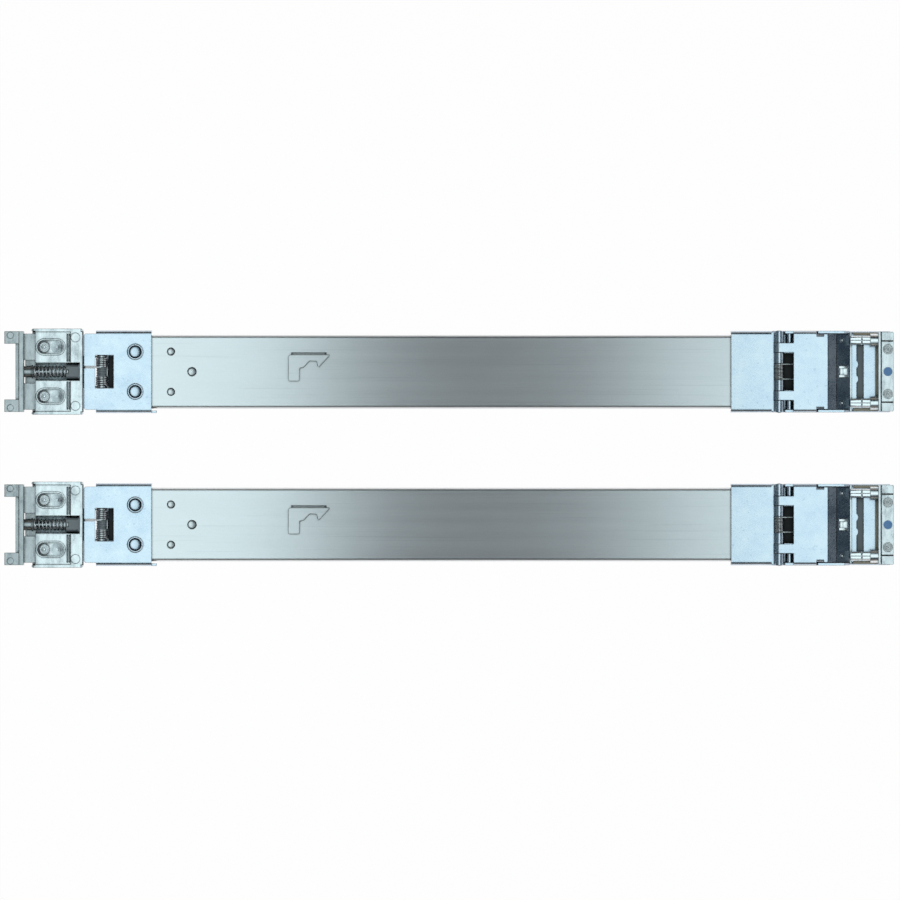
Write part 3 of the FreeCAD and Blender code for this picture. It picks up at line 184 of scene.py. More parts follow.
class Finish:
    """One material and its node tree, with a Principled shader at the end."""

    def __init__(self, name, **constants):
        self.material = bpy.data.materials.new(name)
        self.material.use_nodes = True
        self.tree = self.material.node_tree
        self.shader = self.tree.nodes["Principled BSDF"]
        for socket, value in constants.items():
            self.shader.inputs[socket.replace("_", " ")].default_value = value

    def node(self, kind, settings=None, sockets=None):
        """Add a node, set it up, then fill or link its sockets."""
        node = self.tree.nodes.new(kind)
        for name, value in (settings or {}).items():
            setattr(node, name, value)
        for key, value in (sockets or {}).items():
            if isinstance(value, Signal):
                self.tree.links.new(value.socket, node.inputs[key])
            elif isinstance(value, bpy.types.NodeSocket):
                self.tree.links.new(value, node.inputs[key])
            else:
                node.inputs[key].default_value = value
        return node

    def place(self, scale=(1, 1, 1)):
        """Object coordinates, stretched along the axes."""
        coordinates = self.node("ShaderNodeTexCoord")
        mapping = self.node("ShaderNodeMapping", {}, {
            "Vector": coordinates.outputs["Object"],
            "Scale": scale,
        })
        return mapping.outputs[0]

    def noise(self, size, scale=(1, 1, 1), detail=2.0, roughness=0.5):
        """Soft random pattern between 0 and 1, with blotches of about the given size in metres."""
        node = self.node("ShaderNodeTexNoise", {}, {
            "Vector": self.place(scale),
            "Scale": 1.0 / size,
            "Detail": detail,
            "Roughness": roughness,
        })
        return Signal(self, node.outputs["Fac"])

    def axis(self, name):
        """Distance along one axis, in metres."""
        split = self.node("ShaderNodeSeparateXYZ", {}, {0: self.place()})
        return Signal(self, split.outputs[name])

    def ramp(self, signal, stops):
        """Number that follows a few stops, each a (position, value) pair."""
        node = self.node("ShaderNodeValToRGB", {}, {0: signal})
        fill_ramp(node, [(p, (v, v, v, 1)) for p, v in stops])
        return Signal(self, node.outputs["Color"])

    def colours(self, signal, stops):
        """Colour that follows a few stops, each a (position, colour) pair."""
        node = self.node("ShaderNodeValToRGB", {}, {0: signal})
        fill_ramp(node, [(p, (*c, 1)) for p, c in stops])
        return node.outputs["Color"]

    def mix(self, factor, first, second, blend="MIX"):
        """Colour between two colours."""
        node = self.node("ShaderNodeMix", {"data_type": "RGBA", "blend_type": blend},
                         {0: factor, 6: colour(first), 7: colour(second)})
        return node.outputs[2]

    def bump(self, height, depth, strength, normal):
        """Relief of the given depth in metres; height runs from 0 to 1."""
        sockets = {"Height": height, "Distance": depth, "Strength": strength, "Normal": normal}
        return self.node("ShaderNodeBump", {}, sockets).outputs[0]

    def openness(self, distance):
        """Near 1 on open faces and near 0 in hollows, judged within a distance."""
        node = self.node("ShaderNodeAmbientOcclusion", {"samples": RAY_SAMPLES},
                         {"Distance": distance})
        return Signal(self, node.outputs["AO"])

    def with_painted_shade(self, tint, near, far, depth=0.98):
        """Tint with shade painted into corners, near in reach, and into deep hollows, far in
        reach.
        """
        corners = self.ramp(self.openness(near), CORNER_STOPS)
        hollows = self.ramp(self.openness(far), [(HOLLOW_START, 1 - depth), (HOLLOW_END, 1.0)])
        return self.mix(1.0, tint, corners * hollows, "MULTIPLY")

    def rounded(self, radius):
        """Normals as if each sharp edge had a small round, which real sheet and castings have."""
        settings = {"samples": RAY_SAMPLES}
        return self.node("ShaderNodeBevel", settings, {"Radius": radius}).outputs[0]

    def feed(self, **sockets):
        """Link what varies to the shader."""
        for name, value in sockets.items():
            socket = self.shader.inputs[name.replace("_", " ")]
            source = value.socket if isinstance(value, Signal) else value
            self.tree.links.new(source, socket)
        return self.material


print("node tree helper ready")

# %% [markdown]
# The floor is a white sheet.  In a studio it would be lit until it is pure white, which would also
# burn out the metal.  Here the white comes from the sheet itself: rays from the camera and mirror
# rays see mostly plain white, and a share of true matt paper keeps the soft shadow of the rails.

# %% Floor
FLOOR_SIZE = 8.0
FLOOR_GAP = 0.0002
PAPER_WHITE = (0.92, 0.92, 0.92, 1)
SHADOW_SHARE = 0.015

bpy.ops.object.select_all(action="DESELECT")
floor_z = cad_low.z - FLOOR_GAP
bpy.ops.mesh.primitive_plane_add(size=FLOOR_SIZE, location=(0, 0, floor_z))
floor = bpy.context.object
floor.name = "studio_floor"
paper = Finish("white_paper", Base_Color=PAPER_WHITE, Roughness=0.9)
glow = paper.node("ShaderNodeEmission", {}, {"Color": (1, 1, 1, 1), "Strength": 1.0})
path = paper.node("ShaderNodeLightPath")
seen = Signal(paper, path.outputs["Is Camera Ray"])
mirrored_rays = Signal(paper, path.outputs["Is Glossy Ray"])
through = Signal(paper, path.outputs["Is Transmission Ray"])
glow_share = (seen + mirrored_rays + through).at_most(1.0) * (1 - SHADOW_SHARE)
blend = paper.node("ShaderNodeMixShader", {}, {
    0: glow_share,
    1: paper.shader.outputs[0],
    2: glow.outputs[0],
})
paper.tree.links.new(blend.outputs[0], paper.tree.nodes["Material Output"].inputs["Surface"])
floor.data.materials.append(paper.material)
print("floor at", round(floor_z / MM, 2), "mm")

# %% [markdown]
# Polished and plated metal looks like whatever stands around it.  The world is therefore a small
# studio: a dark wall behind the rails, a white one beyond their front, brown board along the two
# long sides, a dark band above them all, and a grey ceiling.  Flat plates seen from above mirror
# the ceiling and the lamps, slopes mirror the dark band, and rounded edges pick up the walls.
# Boards round the rails would do the same, but a few ramps in the world's nodes stand in no
# camera's way.

# %% World
WALL_WHITE = (0.92, 0.95, 0.98)
WALL_DARK = (0.045, 0.070, 0.080)
BOARD_BROWN = (0.27, 0.24, 0.20)
BAND_DARK = (0.010, 0.024, 0.038)
CEILING = (0.20, 0.195, 0.203)
BOARD_STOPS = [(0.0, 0.0), (0.25, 0.0), (0.55, 1.0)]
BRIGHT_END_STOPS = [(0.0, 0.0), (0.44, 0.0), (0.60, 1.0)]
WALL_TOP_STOPS = [(0.0, 0.0), (0.38, 0.0), (0.51, 1.0)]
ABOVE_STOPS = [(0.0, BAND_DARK), (0.88, BAND_DARK), (0.96, CEILING), (1.0, CEILING)]

world = bpy.data.worlds.new("small_studio")
world.use_nodes = True
bpy.context.scene.world = world


class Studio(Finish):
    """The world's node tree, with the same helpers as a material."""

    def __init__(self, surroundings):
        self.material = surroundings
        self.tree = surroundings.node_tree
        self.shader = self.tree.nodes["Background"]


studio = Studio(world)
direction = studio.node("ShaderNodeTexCoord").outputs["Generated"]
split = studio.node("ShaderNodeSeparateXYZ", {}, {0: direction})
height = Signal(studio, split.outputs["Z"])
sideways = Signal(studio, split.outputs["Y"])
forward = Signal(studio, split.outputs["X"])
board = studio.ramp(sideways * sideways, BOARD_STOPS)
bright_end = studio.ramp(forward * 0.5 + 0.5, BRIGHT_END_STOPS)
ends = studio.mix(bright_end, WALL_DARK, WALL_WHITE)
wall = studio.mix(board, ends, BOARD_BROWN)
upper = studio.ramp(height, WALL_TOP_STOPS)
above = studio.colours(height, ABOVE_STOPS)
walls = studio.mix(upper, wall, above)
rays = studio.node("ShaderNodeLightPath")
camera_ray = Signal(studio, rays.outputs["Is Camera Ray"])
studio.feed(Color=studio.mix(camera_ray, walls, (1.0, 1.0, 1.0)))
print("world ready")

# %% [markdown]
# Two broad lamps hang over the ends of the rails, one a little stronger than the other.  Satin
# metal mirrors them as long soft glows that fade towards the middle, as brushed sheet does under
# windows.  A grid on each lamp, set by its spread, keeps it out of the slopes at the far end.

# %% Lamps
LAMP_TINT = (0.81, 0.985, 1.0)
LAMP_SPREAD = math.radians(125)


def lamp(name, location, size, watts):
    """A soft rectangular lamp that points straight down."""
    data = bpy.data.lights.new(name, "AREA")
    data.shape = "RECTANGLE"
    data.size, data.size_y = size
    data.energy = watts
    data.color = LAMP_TINT
    data.spread = LAMP_SPREAD
    light = bpy.data.objects.new(name, data)
    light.location = location
    light.visible_camera = False
    bpy.context.scene.collection.objects.link(light)
    print(name, "radiance", round(watts / (math.pi * size[0] * size[1]), 2))


lamp("left_lamp", location=(-0.250, 0.0, 0.34), size=(0.31, 0.50), watts=0.28)
lamp("right_lamp", location=(0.285, 0.0, 0.42), size=(0.25, 0.52), watts=0.235)

# %% [markdown]
# ## Finishes
# Galvanised sheet comes off a coil, so everything on it runs lengthwise: fine brushing, a few long
# scratches and faint bands.  Stretching a noise pattern along X gives all of these, and unlike an
# image it never repeats.  A broad, slow change of tint keeps a long plain plate from looking like
# a grey card.

# %% Galvanised sheet
LENGTHWISE = (0.02, 1.0, 1.0)
BAND_STRETCH = (0.012, 1.0, 1.0)
SCRATCH_STRETCH = (0.010, 1.0, 1.0)
CLOUD_STRETCH = (0.5, 1.0, 1.0)
SCRATCH_STOPS = [(0.0, 1.0), (0.30, 1.0), (0.345, 0.0)]
SHEET_DULL = (0.62, 0.65, 0.67)
SHEET_BRIGHT = (0.90, 0.92, 0.93)


def galvanised():
    f = Finish("galvanised_sheet", Metallic=1.0, Roughness=0.36)
    brushing = f.noise(0.0005, LENGTHWISE, detail=3.0, roughness=0.7)
    bands = f.noise(0.006, BAND_STRETCH, detail=2.0)
    grain = f.noise(0.0006, detail=3.0, roughness=0.8)
    clouds = f.noise(0.05, CLOUD_STRETCH, detail=3.0)
    scratch = f.ramp(f.noise(0.0011, SCRATCH_STRETCH, detail=1.0), SCRATCH_STOPS)
    tone = brushing * 0.10 + bands * 0.14 + grain * 0.18 + clouds * 0.10 - scratch * 0.05
    plain = f.colours(tone, [(0.10, SHEET_DULL), (0.42, SHEET_BRIGHT)])
    rough = brushing * 0.10 + bands * 0.08 + clouds * 0.08 + 0.25
    relief = f.bump(brushing * 0.6 + grain * 0.4 - scratch * 0.5, depth=0.000025, strength=0.6,
                    normal=f.rounded(0.0007))
    # Shade painted into the colour of corners and hollows.
    shaded_tint = f.with_painted_shade(plain, near=0.0020, far=0.010)
    return f.feed(Base_Color=shaded_tint, Roughness=rough, Normal=relief)


print("galvanised sheet defined")

# %% [markdown]
# The brackets are pressed, then barrel-plated in clear blue zinc.  Tumbling in the barrel leaves a
# fine pebbly surface with no direction, small nicks, and a cold tint.  The same noise drives the
# tint, the roughness and the relief, because on real plate all three change together.

# %% Blue zinc plate
NICK_STOPS = [(0.0, 1.0), (0.20, 1.0), (0.26, 0.0)]
ZINC_DARK = (0.42, 0.51, 0.61)
ZINC_MIDDLE = (0.56, 0.645, 0.735)
ZINC_PALE = (0.70, 0.765, 0.825)


def zinc_plate():
    f = Finish("blue_zinc_plate", Metallic=1.0, Roughness=0.36)
    pebbles = f.noise(0.0011, detail=4.0, roughness=0.75)
    clouds = f.noise(0.014, detail=3.0, roughness=0.6)
    nick = f.ramp(f.noise(0.0022, detail=0.0), NICK_STOPS)
    tone = pebbles * 0.5 + clouds * 0.5 - nick * 0.10
    tint = f.colours(tone, [(0.30, ZINC_DARK), (0.50, ZINC_MIDDLE), (0.68, ZINC_PALE)])
    rough = pebbles * 0.12 + clouds * 0.12 + 0.15
    relief = f.bump(pebbles - nick * 0.6, depth=0.00004, strength=0.6, normal=f.rounded(0.0006))
    # Shade painted into the colour of corners and hollows.
    shaded_tint = f.with_painted_shade(tint, near=0.0014, far=0.010)
    return f.feed(Base_Color=shaded_tint, Roughness=rough, Normal=relief)


print("zinc plate defined")

# %% [markdown]
# The latch head and its fork are die cast.  A casting has flow marks where the melt met, a
# slightly greasy grain, and duller patches where it left the tool.  Three noises of different
# stretch are laid over one another for these.  A steep ramp along X darkens the rear end of the
# castings.

# %% Die-cast alloy
FLOW_STRETCH = (1.0, 0.55, 1.0)
STREAK_STRETCH = (1.0, 0.35, 1.0)
CAST_DARK = (0.34, 0.37, 0.39)
CAST_MIDDLE = (0.66, 0.70, 0.72)
CAST_PALE = (0.86, 0.90, 0.92)
REAR_DARK_SCALE, REAR_DARK_SHIFT = 10, 3.2
REAR_DARK_STOPS = [(0.0, 0.60), (0.25, 0.60), (0.30, 1.0)]


def die_cast():
    f = Finish("die_cast_alloy", Metallic=1.0, Roughness=0.34)
    flow = f.noise(0.007, FLOW_STRETCH, detail=5.0, roughness=0.65)
    grain = f.noise(0.0008, detail=3.0, roughness=0.7)
    streak = f.noise(0.0030, STREAK_STRETCH, detail=3.0, roughness=0.6)
    tone = flow * 0.50 + grain * 0.22 + streak * 0.28
    tint = f.colours(tone, [(0.36, CAST_DARK), (0.50, CAST_MIDDLE), (0.64, CAST_PALE)])
    rough = flow * 0.24 + grain * 0.10 + 0.14
    relief = f.bump(flow * 0.6 + grain * 0.2 + streak * 0.4, depth=0.00028, strength=0.8,
                    normal=f.rounded(0.0007))
    # A steep ramp along X darkens the rear end.
    rear_darkening = f.ramp(f.axis("X") * REAR_DARK_SCALE + REAR_DARK_SHIFT, REAR_DARK_STOPS)
    # Shade painted into the colour of corners and hollows.
    shaded_tint = f.mix(1.0, f.with_painted_shade(tint, near=0.0022, far=0.008, depth=0.6), rear_darkening, "MULTIPLY")
    return f.feed(Base_Color=shaded_tint, Roughness=rough, Normal=relief)


print("die-cast alloy defined")

# %% [markdown]
# Pins and balls are turned or ground and then polished.  Their roughness is low, with faint rings
# round the axis where a tool has passed, which a Wave texture draws.  Smears in the roughness keep
# them from looking like glass.

# %% Polished steels
WAVES_PER_SCALE = 20


def polished(name, low, high, roughness, ring_axis="X", ring_pitch=0.00035):
    f = Finish(name, Metallic=1.0, Roughness=roughness)
    rings = f.node("ShaderNodeTexWave", {"bands_direction": ring_axis}, {
        "Vector": f.place(),
        "Scale": 1.0 / (ring_pitch * WAVES_PER_SCALE),
        "Distortion": 1.5,
        "Detail": 2.0,
    })
    ring = Signal(f, rings.outputs["Fac"])
    smear = f.noise(0.004, detail=3.0)
    tint = f.colours(smear * 0.7 + ring * 0.3, [(0.25, low), (0.75, high)])
    rough = smear * 0.14 + ring * 0.04 + roughness - 0.07
    relief = f.bump(ring, depth=0.000008, strength=0.5, normal=f.rounded(0.00015))
    # Shade painted into the colour of corners and hollows.
    shaded_tint = f.with_painted_shade(tint, near=0.0008, far=0.004)
    return f.feed(Base_Color=shaded_tint, Roughness=rough, Normal=relief)


def spring_steel():
    return polished("bright_spring_wire", low=(0.60, 0.62, 0.64), high=(0.88, 0.91, 0.93),
                    roughness=0.26, ring_axis="Y", ring_pitch=0.0006)


def pin_steel():
    return polished("turned_pin_steel", low=(0.70, 0.74, 0.76), high=(0.90, 0.93, 0.95),
                    roughness=0.27)


def ball_steel():
    return polished("ground_ball_steel", low=(0.66, 0.68, 0.70), high=(0.86, 0.88, 0.90),
                    roughness=0.10)


def rivet_grey():
    return polished("turned_rivet_head", low=(0.60, 0.62, 0.63), high=(0.90, 0.92, 0.92),
                    roughness=0.36, ring_pitch=0.0005)


print("polished steels defined")

# %% [markdown]
# Moulded plastics share one recipe: a body colour that drifts a little, a fine spark-eroded
# texture, and a gloss that changes with both.

# %% Plastics and rubber
def moulded(name, body, roughness, texture=0.0006, drift=0.12):
    f = Finish(name, Metallic=0.0, Roughness=roughness)
    spark = f.noise(texture, detail=3.0, roughness=0.7)
    clouds = f.noise(0.006, detail=2.0)
    low = tuple(c * (1 - drift) for c in body)
    high = tuple(min(1.0, c * (1 + drift)) for c in body)
    tint = f.mix(spark * 0.5 + clouds * 0.5, low, high)
    rough = spark * 0.12 + clouds * 0.10 + roughness - 0.11
    relief = f.bump(spark, depth=0.00003, strength=0.6, normal=f.rounded(0.0002))
    # Shade painted into the colour of corners and hollows.
    shaded_tint = f.with_painted_shade(tint, near=0.0008, far=0.010)
    return f.feed(Base_Color=shaded_tint, Roughness=rough, Normal=relief)


def cage_plastic():
    return moulded("natural_acetal", body=(0.62, 0.54, 0.40), roughness=0.42)


def bumper():
    return moulded("black_elastomer", body=(0.022, 0.022, 0.024), roughness=0.62,
                   texture=0.0009, drift=0.25)


def lever_plastic():
    return moulded("dark_nylon", body=(0.016, 0.022, 0.034), roughness=0.45)


def seat_grey():
    return moulded("grey_acetal", body=(0.27, 0.29, 0.31), roughness=0.38)


def marker_blue():
    return moulded("blue_touch_point", body=(0.19, 0.44, 0.90), roughness=0.30, texture=0.0004)


print("plastics defined")

# %% [markdown]
# The record lists the finish of every node by its slot.  One material is made per slot, and each
# node's own slot decides which it gets, so no node is forgotten.

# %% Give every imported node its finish
FINISHES = {
    "galvanised": galvanised(),
    "zinc_plate": zinc_plate(),
    "die_cast": die_cast(),
    "spring_steel": spring_steel(),
    "pin_steel": pin_steel(),
    "ball_steel": ball_steel(),
    "cage_plastic": cage_plastic(),
    "bumper": bumper(),
    "lever_plastic": lever_plastic(),
    "seat_grey": seat_grey(),
    "rivet_grey": rivet_grey(),
    "marker_blue": marker_blue(),
}


def dress(piece, slot):
    """Give a piece the material of one slot."""
    piece.data.materials.clear()
    piece.data.materials.append(FINISHES[slot])


for part in frame["record"]["subparts"]:
    dress(frame["nodes"][part["node"]], part["material_slot"])

# %% [markdown]
# ## Small pieces worth modelling here
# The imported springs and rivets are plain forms, which is enough for motion.  Seen close, a real
# spring is one round wire and a rivet head is turned, so these get pieces of their own.
# Everything is shaped as by hand: a primitive is added, faces are picked, inset, moved and
# bevelled, and modifiers are applied.  These first tools select, open and clean a piece.

# %% Tools for editing
DOUBLES = 0.000002
FACING = 0.9          # a normal's least part along an axis that its face looks along
SIDEWAYS = 0.1        # and its largest part along one that its face lies along


def alone(piece):
    """Select one object only and make it active."""
    bpy.ops.object.select_all(action="DESELECT")
    piece.select_set(True)
    bpy.context.view_layer.objects.active = piece


def settle(piece):
    """Put a piece's place into its mesh, so that its object sits at the origin."""
    alone(piece)
    bpy.ops.object.transform_apply(location=True, rotation=True, scale=True)


def added():
    """The primitive that was just added, settled."""
    piece = bpy.context.object
    settle(piece)
    return piece


def edit(piece, mode="VERT", action="DESELECT"):
    """Open a piece for editing, with everything deselected or selected."""
    alone(piece)
    bpy.ops.object.mode_set(mode="EDIT")
    bpy.ops.mesh.select_mode(type=mode)
    bpy.ops.mesh.select_all(action=action)


def done():
    """Leave edit mode."""
    bpy.ops.object.mode_set(mode="OBJECT")


def tidy(piece, angle=40.0):
    """Merge doubles, turn faces outwards and smooth all but the sharp edges."""
    edit(piece, action="SELECT")
    bpy.ops.mesh.remove_doubles(threshold=DOUBLES)
    bpy.ops.mesh.normals_make_consistent(inside=False)
    done()
    bpy.ops.object.shade_smooth_by_angle(angle=math.radians(angle))
    return piece


def bevel(piece, width, segments, angle=30.0):
    """Round every edge that is sharper than an angle."""
    alone(piece)
    bpy.ops.object.modifier_add(type="BEVEL")
    soft = piece.modifiers[-1]
    soft.width = width
    soft.segments = segments
    soft.limit_method = "ANGLE"
    soft.angle_limit = math.radians(angle)
    bpy.ops.object.modifier_apply(modifier=soft.name)
    return piece


def tilt(piece, degrees, centre):
    """Turn a piece about a line along Y, through a centre."""
    edit(piece, action="SELECT")
    bpy.ops.transform.rotate(value=math.radians(degrees), orient_axis="Y", center_override=centre)
    done()
    return piece


print("editing tools ready")

# %% [markdown]
# What repeats is modelled once and copied.  A stud or rivet is copied to the other side of its
# rail, and a whole piece to the second rail.  Each copy has its own mesh, and the object stays at
# the origin, so that patterns on Object coordinates stay where they are.

# %% Tools for copying and finishing
def copied(piece, shift):
    """A copy of a piece, moved along Y."""
    alone(piece)
    bpy.ops.object.duplicate(linked=False)
    copy = bpy.context.object
    copy.location.y = shift
    settle(copy)
    return copy


def both_sides(piece, distance):
    """A piece that stands a distance before the centre line, and its copy as far behind it."""
    return [piece, copied(piece, 2 * distance)]


def join(pieces):
    """Make several meshes one object."""
    alone(pieces[0])
    for piece in pieces[1:]:
        piece.select_set(True)
    bpy.ops.object.join()
    return bpy.context.object


def on_both_rails(piece, name, body, slot, *nodes):
    """Finish a piece on rail_a and a copy on rail_b, in place of any CAD nodes named.

    The body is outer_rails, which both rails share, or the last part of a body's name.
    """
    settle(piece)
    pair = {"rail_a": piece, "rail_b": copied(piece, rail_y["rail_b"] - LINE)}
    for rail, one in pair.items():
        one.name = one.data.name = rail + "_" + name
        dress(one, slot)
        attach(one, body if body == "outer_rails" else rail + "_" + body)
        if nodes:
            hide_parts(*[rail + "_" + node for node in nodes])
        print(one.name, len(one.data.polygons), "faces")
    return pair


print("copying tools ready")

# %% [markdown]
# ## Wound springs
# The Screw modifier sweeps a small circle round an axis while it moves along it, which is just how
# a coiling machine works.  A curve with a bevel would give the same wire, but its helix would have
# to be listed point by point.

# %% Coils
WIRE_SIDES = 14
STEPS_PER_TURN = 32


def coil(start, axis, radius, wire, length, turns):
    """Round wire wound about an axis, from a start point on that axis."""
    bpy.ops.object.select_all(action="DESELECT")
    facing = (math.pi / 2, 0, 0) if axis == "X" else (0, math.pi / 2, 0)
    bpy.ops.mesh.primitive_circle_add(vertices=WIRE_SIDES, radius=wire, fill_type="NGON",
                                      location=(0, 0, radius), rotation=facing)
    piece = added()
    bpy.ops.object.modifier_add(type="SCREW")
    screw = piece.modifiers[-1]
    screw.axis = axis
    screw.angle = 2 * math.pi * turns
    screw.screw_offset = length
    screw.steps = screw.render_steps = round(STEPS_PER_TURN * turns)
    screw.use_smooth_shade = True
    bpy.ops.object.modifier_apply(modifier=screw.name)
    piece.location = start
    settle(piece)
    return tidy(piece)


print("coil tool ready")

# %% [markdown]
# A coil ends in closed turns and straight legs.  A closed turn is a torus, and a leg is a bar with
# softly rounded ends, both pointed along their axis by `to_track_quat`.

# %% Closed turns and legs
AXIS = {"X": Vector((1, 0, 0)), "Y": Vector((0, 1, 0))}
RING_SIDES = 40
BAR_SIDES = 24
BAR_ROUNDING = 0.3


def ring(centre, axis, radius, wire):
    """One closed turn of wire."""
    bpy.ops.object.select_all(action="DESELECT")
    facing = AXIS[axis].to_track_quat("Z", "Y").to_euler()
    bpy.ops.mesh.primitive_torus_add(major_radius=radius, minor_radius=wire, location=centre,
                                     rotation=facing, major_segments=RING_SIDES,
                                     minor_segments=WIRE_SIDES)
    return tidy(added())


def bar(start, end, radius):
    """A straight round bar with softly rounded ends."""
    bpy.ops.object.select_all(action="DESELECT")
    start, end = Vector(start), Vector(end)
    facing = (end - start).to_track_quat("Z", "Y").to_euler()
    bpy.ops.mesh.primitive_cylinder_add(vertices=BAR_SIDES, radius=radius,
                                        depth=(end - start).length, location=(start + end) / 2,
                                        rotation=facing)
    return tidy(bevel(added(), radius * BAR_ROUNDING, segments=3, angle=50.0))


print("turn and leg tools ready")

# %% [markdown]
# The latch spring is a compression spring.  Its ends are closed and ground, so each gets one flat
# turn, and the open turns between them are spaced evenly.  The real spring shortens as the fork
# is drawn back; this one rides on the fork's body, with a mesh of its own.

# %% Latch springs
LATCH_WIRE = 0.60 * MM
LATCH_RADIUS = 3.72 * MM
LATCH_TURNS = 8.5
LATCH_LEAD = 2.4 * LATCH_WIRE
GROUND_WIRE = 0.96 * LATCH_WIRE
LATCH_START, LATCH_STOP = 0.25 * MM, 0.05 * MM

low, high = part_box("rail_a_rear_latch_spring")
z = (low.z + high.z) / 2
x0 = low.x + LATCH_START
x1 = high.x + LATCH_STOP
turns = [
    ring((x0 + LATCH_WIRE, LINE, z), "X", LATCH_RADIUS, GROUND_WIRE),
    coil((x0 + LATCH_LEAD, LINE, z), "X", LATCH_RADIUS, LATCH_WIRE, x1 - x0 - 2 * LATCH_LEAD,
         LATCH_TURNS),
    ring((x1 - LATCH_WIRE, LINE, z), "X", LATCH_RADIUS, GROUND_WIRE),
]
pair = on_both_rails(join(turns), "wound_latch_spring", "rear_yoke_body", "spring_steel",
                     "rear_latch_spring")
for rail, spring in pair.items():
    rail + "_rear_yoke_slide"
    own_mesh(spring)

# %% [markdown]
# The rear pivot carries a double torsion spring: two groups of touching turns on one grey sleeve,
# a bridge of wire between them, and a leg that runs out through the slit in the bracket to the
# head.  The two groups are wound opposite ways, so neither is a copy of the other.

# %% Pivot springs
PIVOT_WIRE = 0.62 * MM
PIVOT_SPRING_RADIUS = 4.5 * MM
BARE_SLEEVE = 3.25 * MM
PIVOT_PITCH = 2.06 * PIVOT_WIRE
PIVOT_END_WIRE = 0.97 * PIVOT_WIRE
PIVOT_LEG_WIRE = 0.9 * PIVOT_WIRE

low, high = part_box("rail_a_rear_pivot_spring")
pin = middle("rail_a_rear_pivot_pin")
reach = (high.y - low.y) / 2
coil_radius = PIVOT_SPRING_RADIUS - PIVOT_WIRE
wires = []
for side in (-1, 1):
    near = LINE + side * (BARE_SLEEVE + PIVOT_WIRE)
    far = LINE + side * (reach - PIVOT_WIRE)
    wires.append(coil((pin.x, near, pin.z), "Y", coil_radius, PIVOT_WIRE, far - near,
                      abs(far - near) / PIVOT_PITCH))
    for end in (near, far):
        wires.append(ring((pin.x, end, pin.z), "Y", coil_radius, PIVOT_END_WIRE))

leg_y, leg_z = LINE + BARE_SLEEVE, pin.z + coil_radius
wires.append(bar((pin.x, leg_y, leg_z), (low.x, leg_y, leg_z), PIVOT_LEG_WIRE))
back = pin.x + coil_radius
bridge = BARE_SLEEVE + PIVOT_WIRE
wires.append(bar((back, LINE - bridge, pin.z), (back, LINE + bridge, pin.z), PIVOT_WIRE))
foot_y = LINE - reach + PIVOT_WIRE
wires.append(bar((back, foot_y, pin.z), (back, foot_y, low.z), PIVOT_LEG_WIRE))
on_both_rails(join(wires), "wound_pivot_spring", "rear_bracket_body", "spring_steel",
              "rear_pivot_spring")

# %% [markdown]
# The sleeve that the turns sit on is a separate moulding, ribbed along its middle.  A cylinder is
# bisected into even bands, and every second band is inset and shrunk, which leaves the ribs
# standing.

# %% Pivot sleeves
SLEEVE_RADIUS = 3.75 * MM
SLEEVE_HALF = 3.1 * MM
SLEEVE_BANDS = 7
GROOVE_DEPTH = 0.35 * MM
RIB_SHARE = 0.12
SLEEVE_SIDES = 48

pin = middle("rail_a_rear_pivot_pin")
start = Vector((pin.x, LINE - SLEEVE_HALF, pin.z))
end = Vector((pin.x, LINE + SLEEVE_HALF, pin.z))
width = (end - start).length / SLEEVE_BANDS
bpy.ops.object.select_all(action="DESELECT")
bpy.ops.mesh.primitive_cylinder_add(vertices=SLEEVE_SIDES, radius=SLEEVE_RADIUS,
                                    depth=(end - start).length, location=(start + end) / 2,
                                    rotation=(math.pi / 2, 0, 0))
sleeve = added()
for i in range(1, SLEEVE_BANDS):
    edit(sleeve, action="SELECT")
    bpy.ops.mesh.bisect(plane_co=start.lerp(end, i / SLEEVE_BANDS), plane_no=(0, 1, 0))
    done()

shrink = (SLEEVE_RADIUS - GROOVE_DEPTH) / SLEEVE_RADIUS
for i in range(1, SLEEVE_BANDS, 2):
    edit(sleeve, "FACE")
    mesh = bmesh.from_edit_mesh(sleeve.data)
    centre = start.lerp(end, (i + 0.5) / SLEEVE_BANDS)
    for face in mesh.faces:
        outside = abs(face.normal.y) < SIDEWAYS
        face.select = outside and abs(face.calc_center_median().y - centre.y) < width / 2
    bmesh.update_edit_mesh(sleeve.data)
    bpy.ops.mesh.inset(thickness=width * RIB_SHARE, use_boundary=False)
    bpy.ops.transform.resize(value=(shrink, 1, shrink), center_override=centre)
    done()
on_both_rails(tidy(sleeve, angle=30.0), "pivot_sleeve", "rear_bracket_body", "seat_grey")

# %% [markdown]
# The gate's torsion spring fills the middle of the front hinge.  Both of its legs bend down under
# the gate's plate, where their ends can be seen in the window.  A closed turn at each end hides
# where the coil stops and the leg starts.

# %% Gate springs
GATE_WIRE = 0.5 * MM
GATE_SPRING_RADIUS = 3.4 * MM
GATE_PITCH = 2.05 * GATE_WIRE
GATE_END_WIRE = 0.97 * GATE_WIRE
GATE_LEG_WIRE = 0.95 * GATE_WIRE
FOOT_RISE = 0.1 * MM

low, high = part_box("rail_a_front_gate_spring")
pin = middle("rail_a_front_hinge_pin")
reach = (high.y - low.y) / 2 - GATE_WIRE
coil_radius = GATE_SPRING_RADIUS - GATE_WIRE
wires = [coil((pin.x, LINE - reach, pin.z), "Y", coil_radius, GATE_WIRE, 2 * reach,
              2 * reach / GATE_PITCH)]
for side in (-1, 1):
    leg_y = LINE + side * reach
    top = (pin.x, leg_y, pin.z + coil_radius)
    foot = (high.x - GATE_WIRE, leg_y, pin.z + FOOT_RISE)
    wires.append(ring((pin.x, leg_y, pin.z), "Y", coil_radius, GATE_END_WIRE))
    wires.append(bar(top, foot, GATE_LEG_WIRE))
on_both_rails(join(wires), "wound_gate_spring", "outer_rails", "spring_steel",
              "front_gate_spring")

# %% [markdown]
# ## Turned and pressed pieces
# A lathe cuts a profile step by step, and so does this tool.  A disc is drawn, its face is
# extruded, moved and resized once for each step of the profile, and the part is complete when it
# has shrunk to a point in the middle.

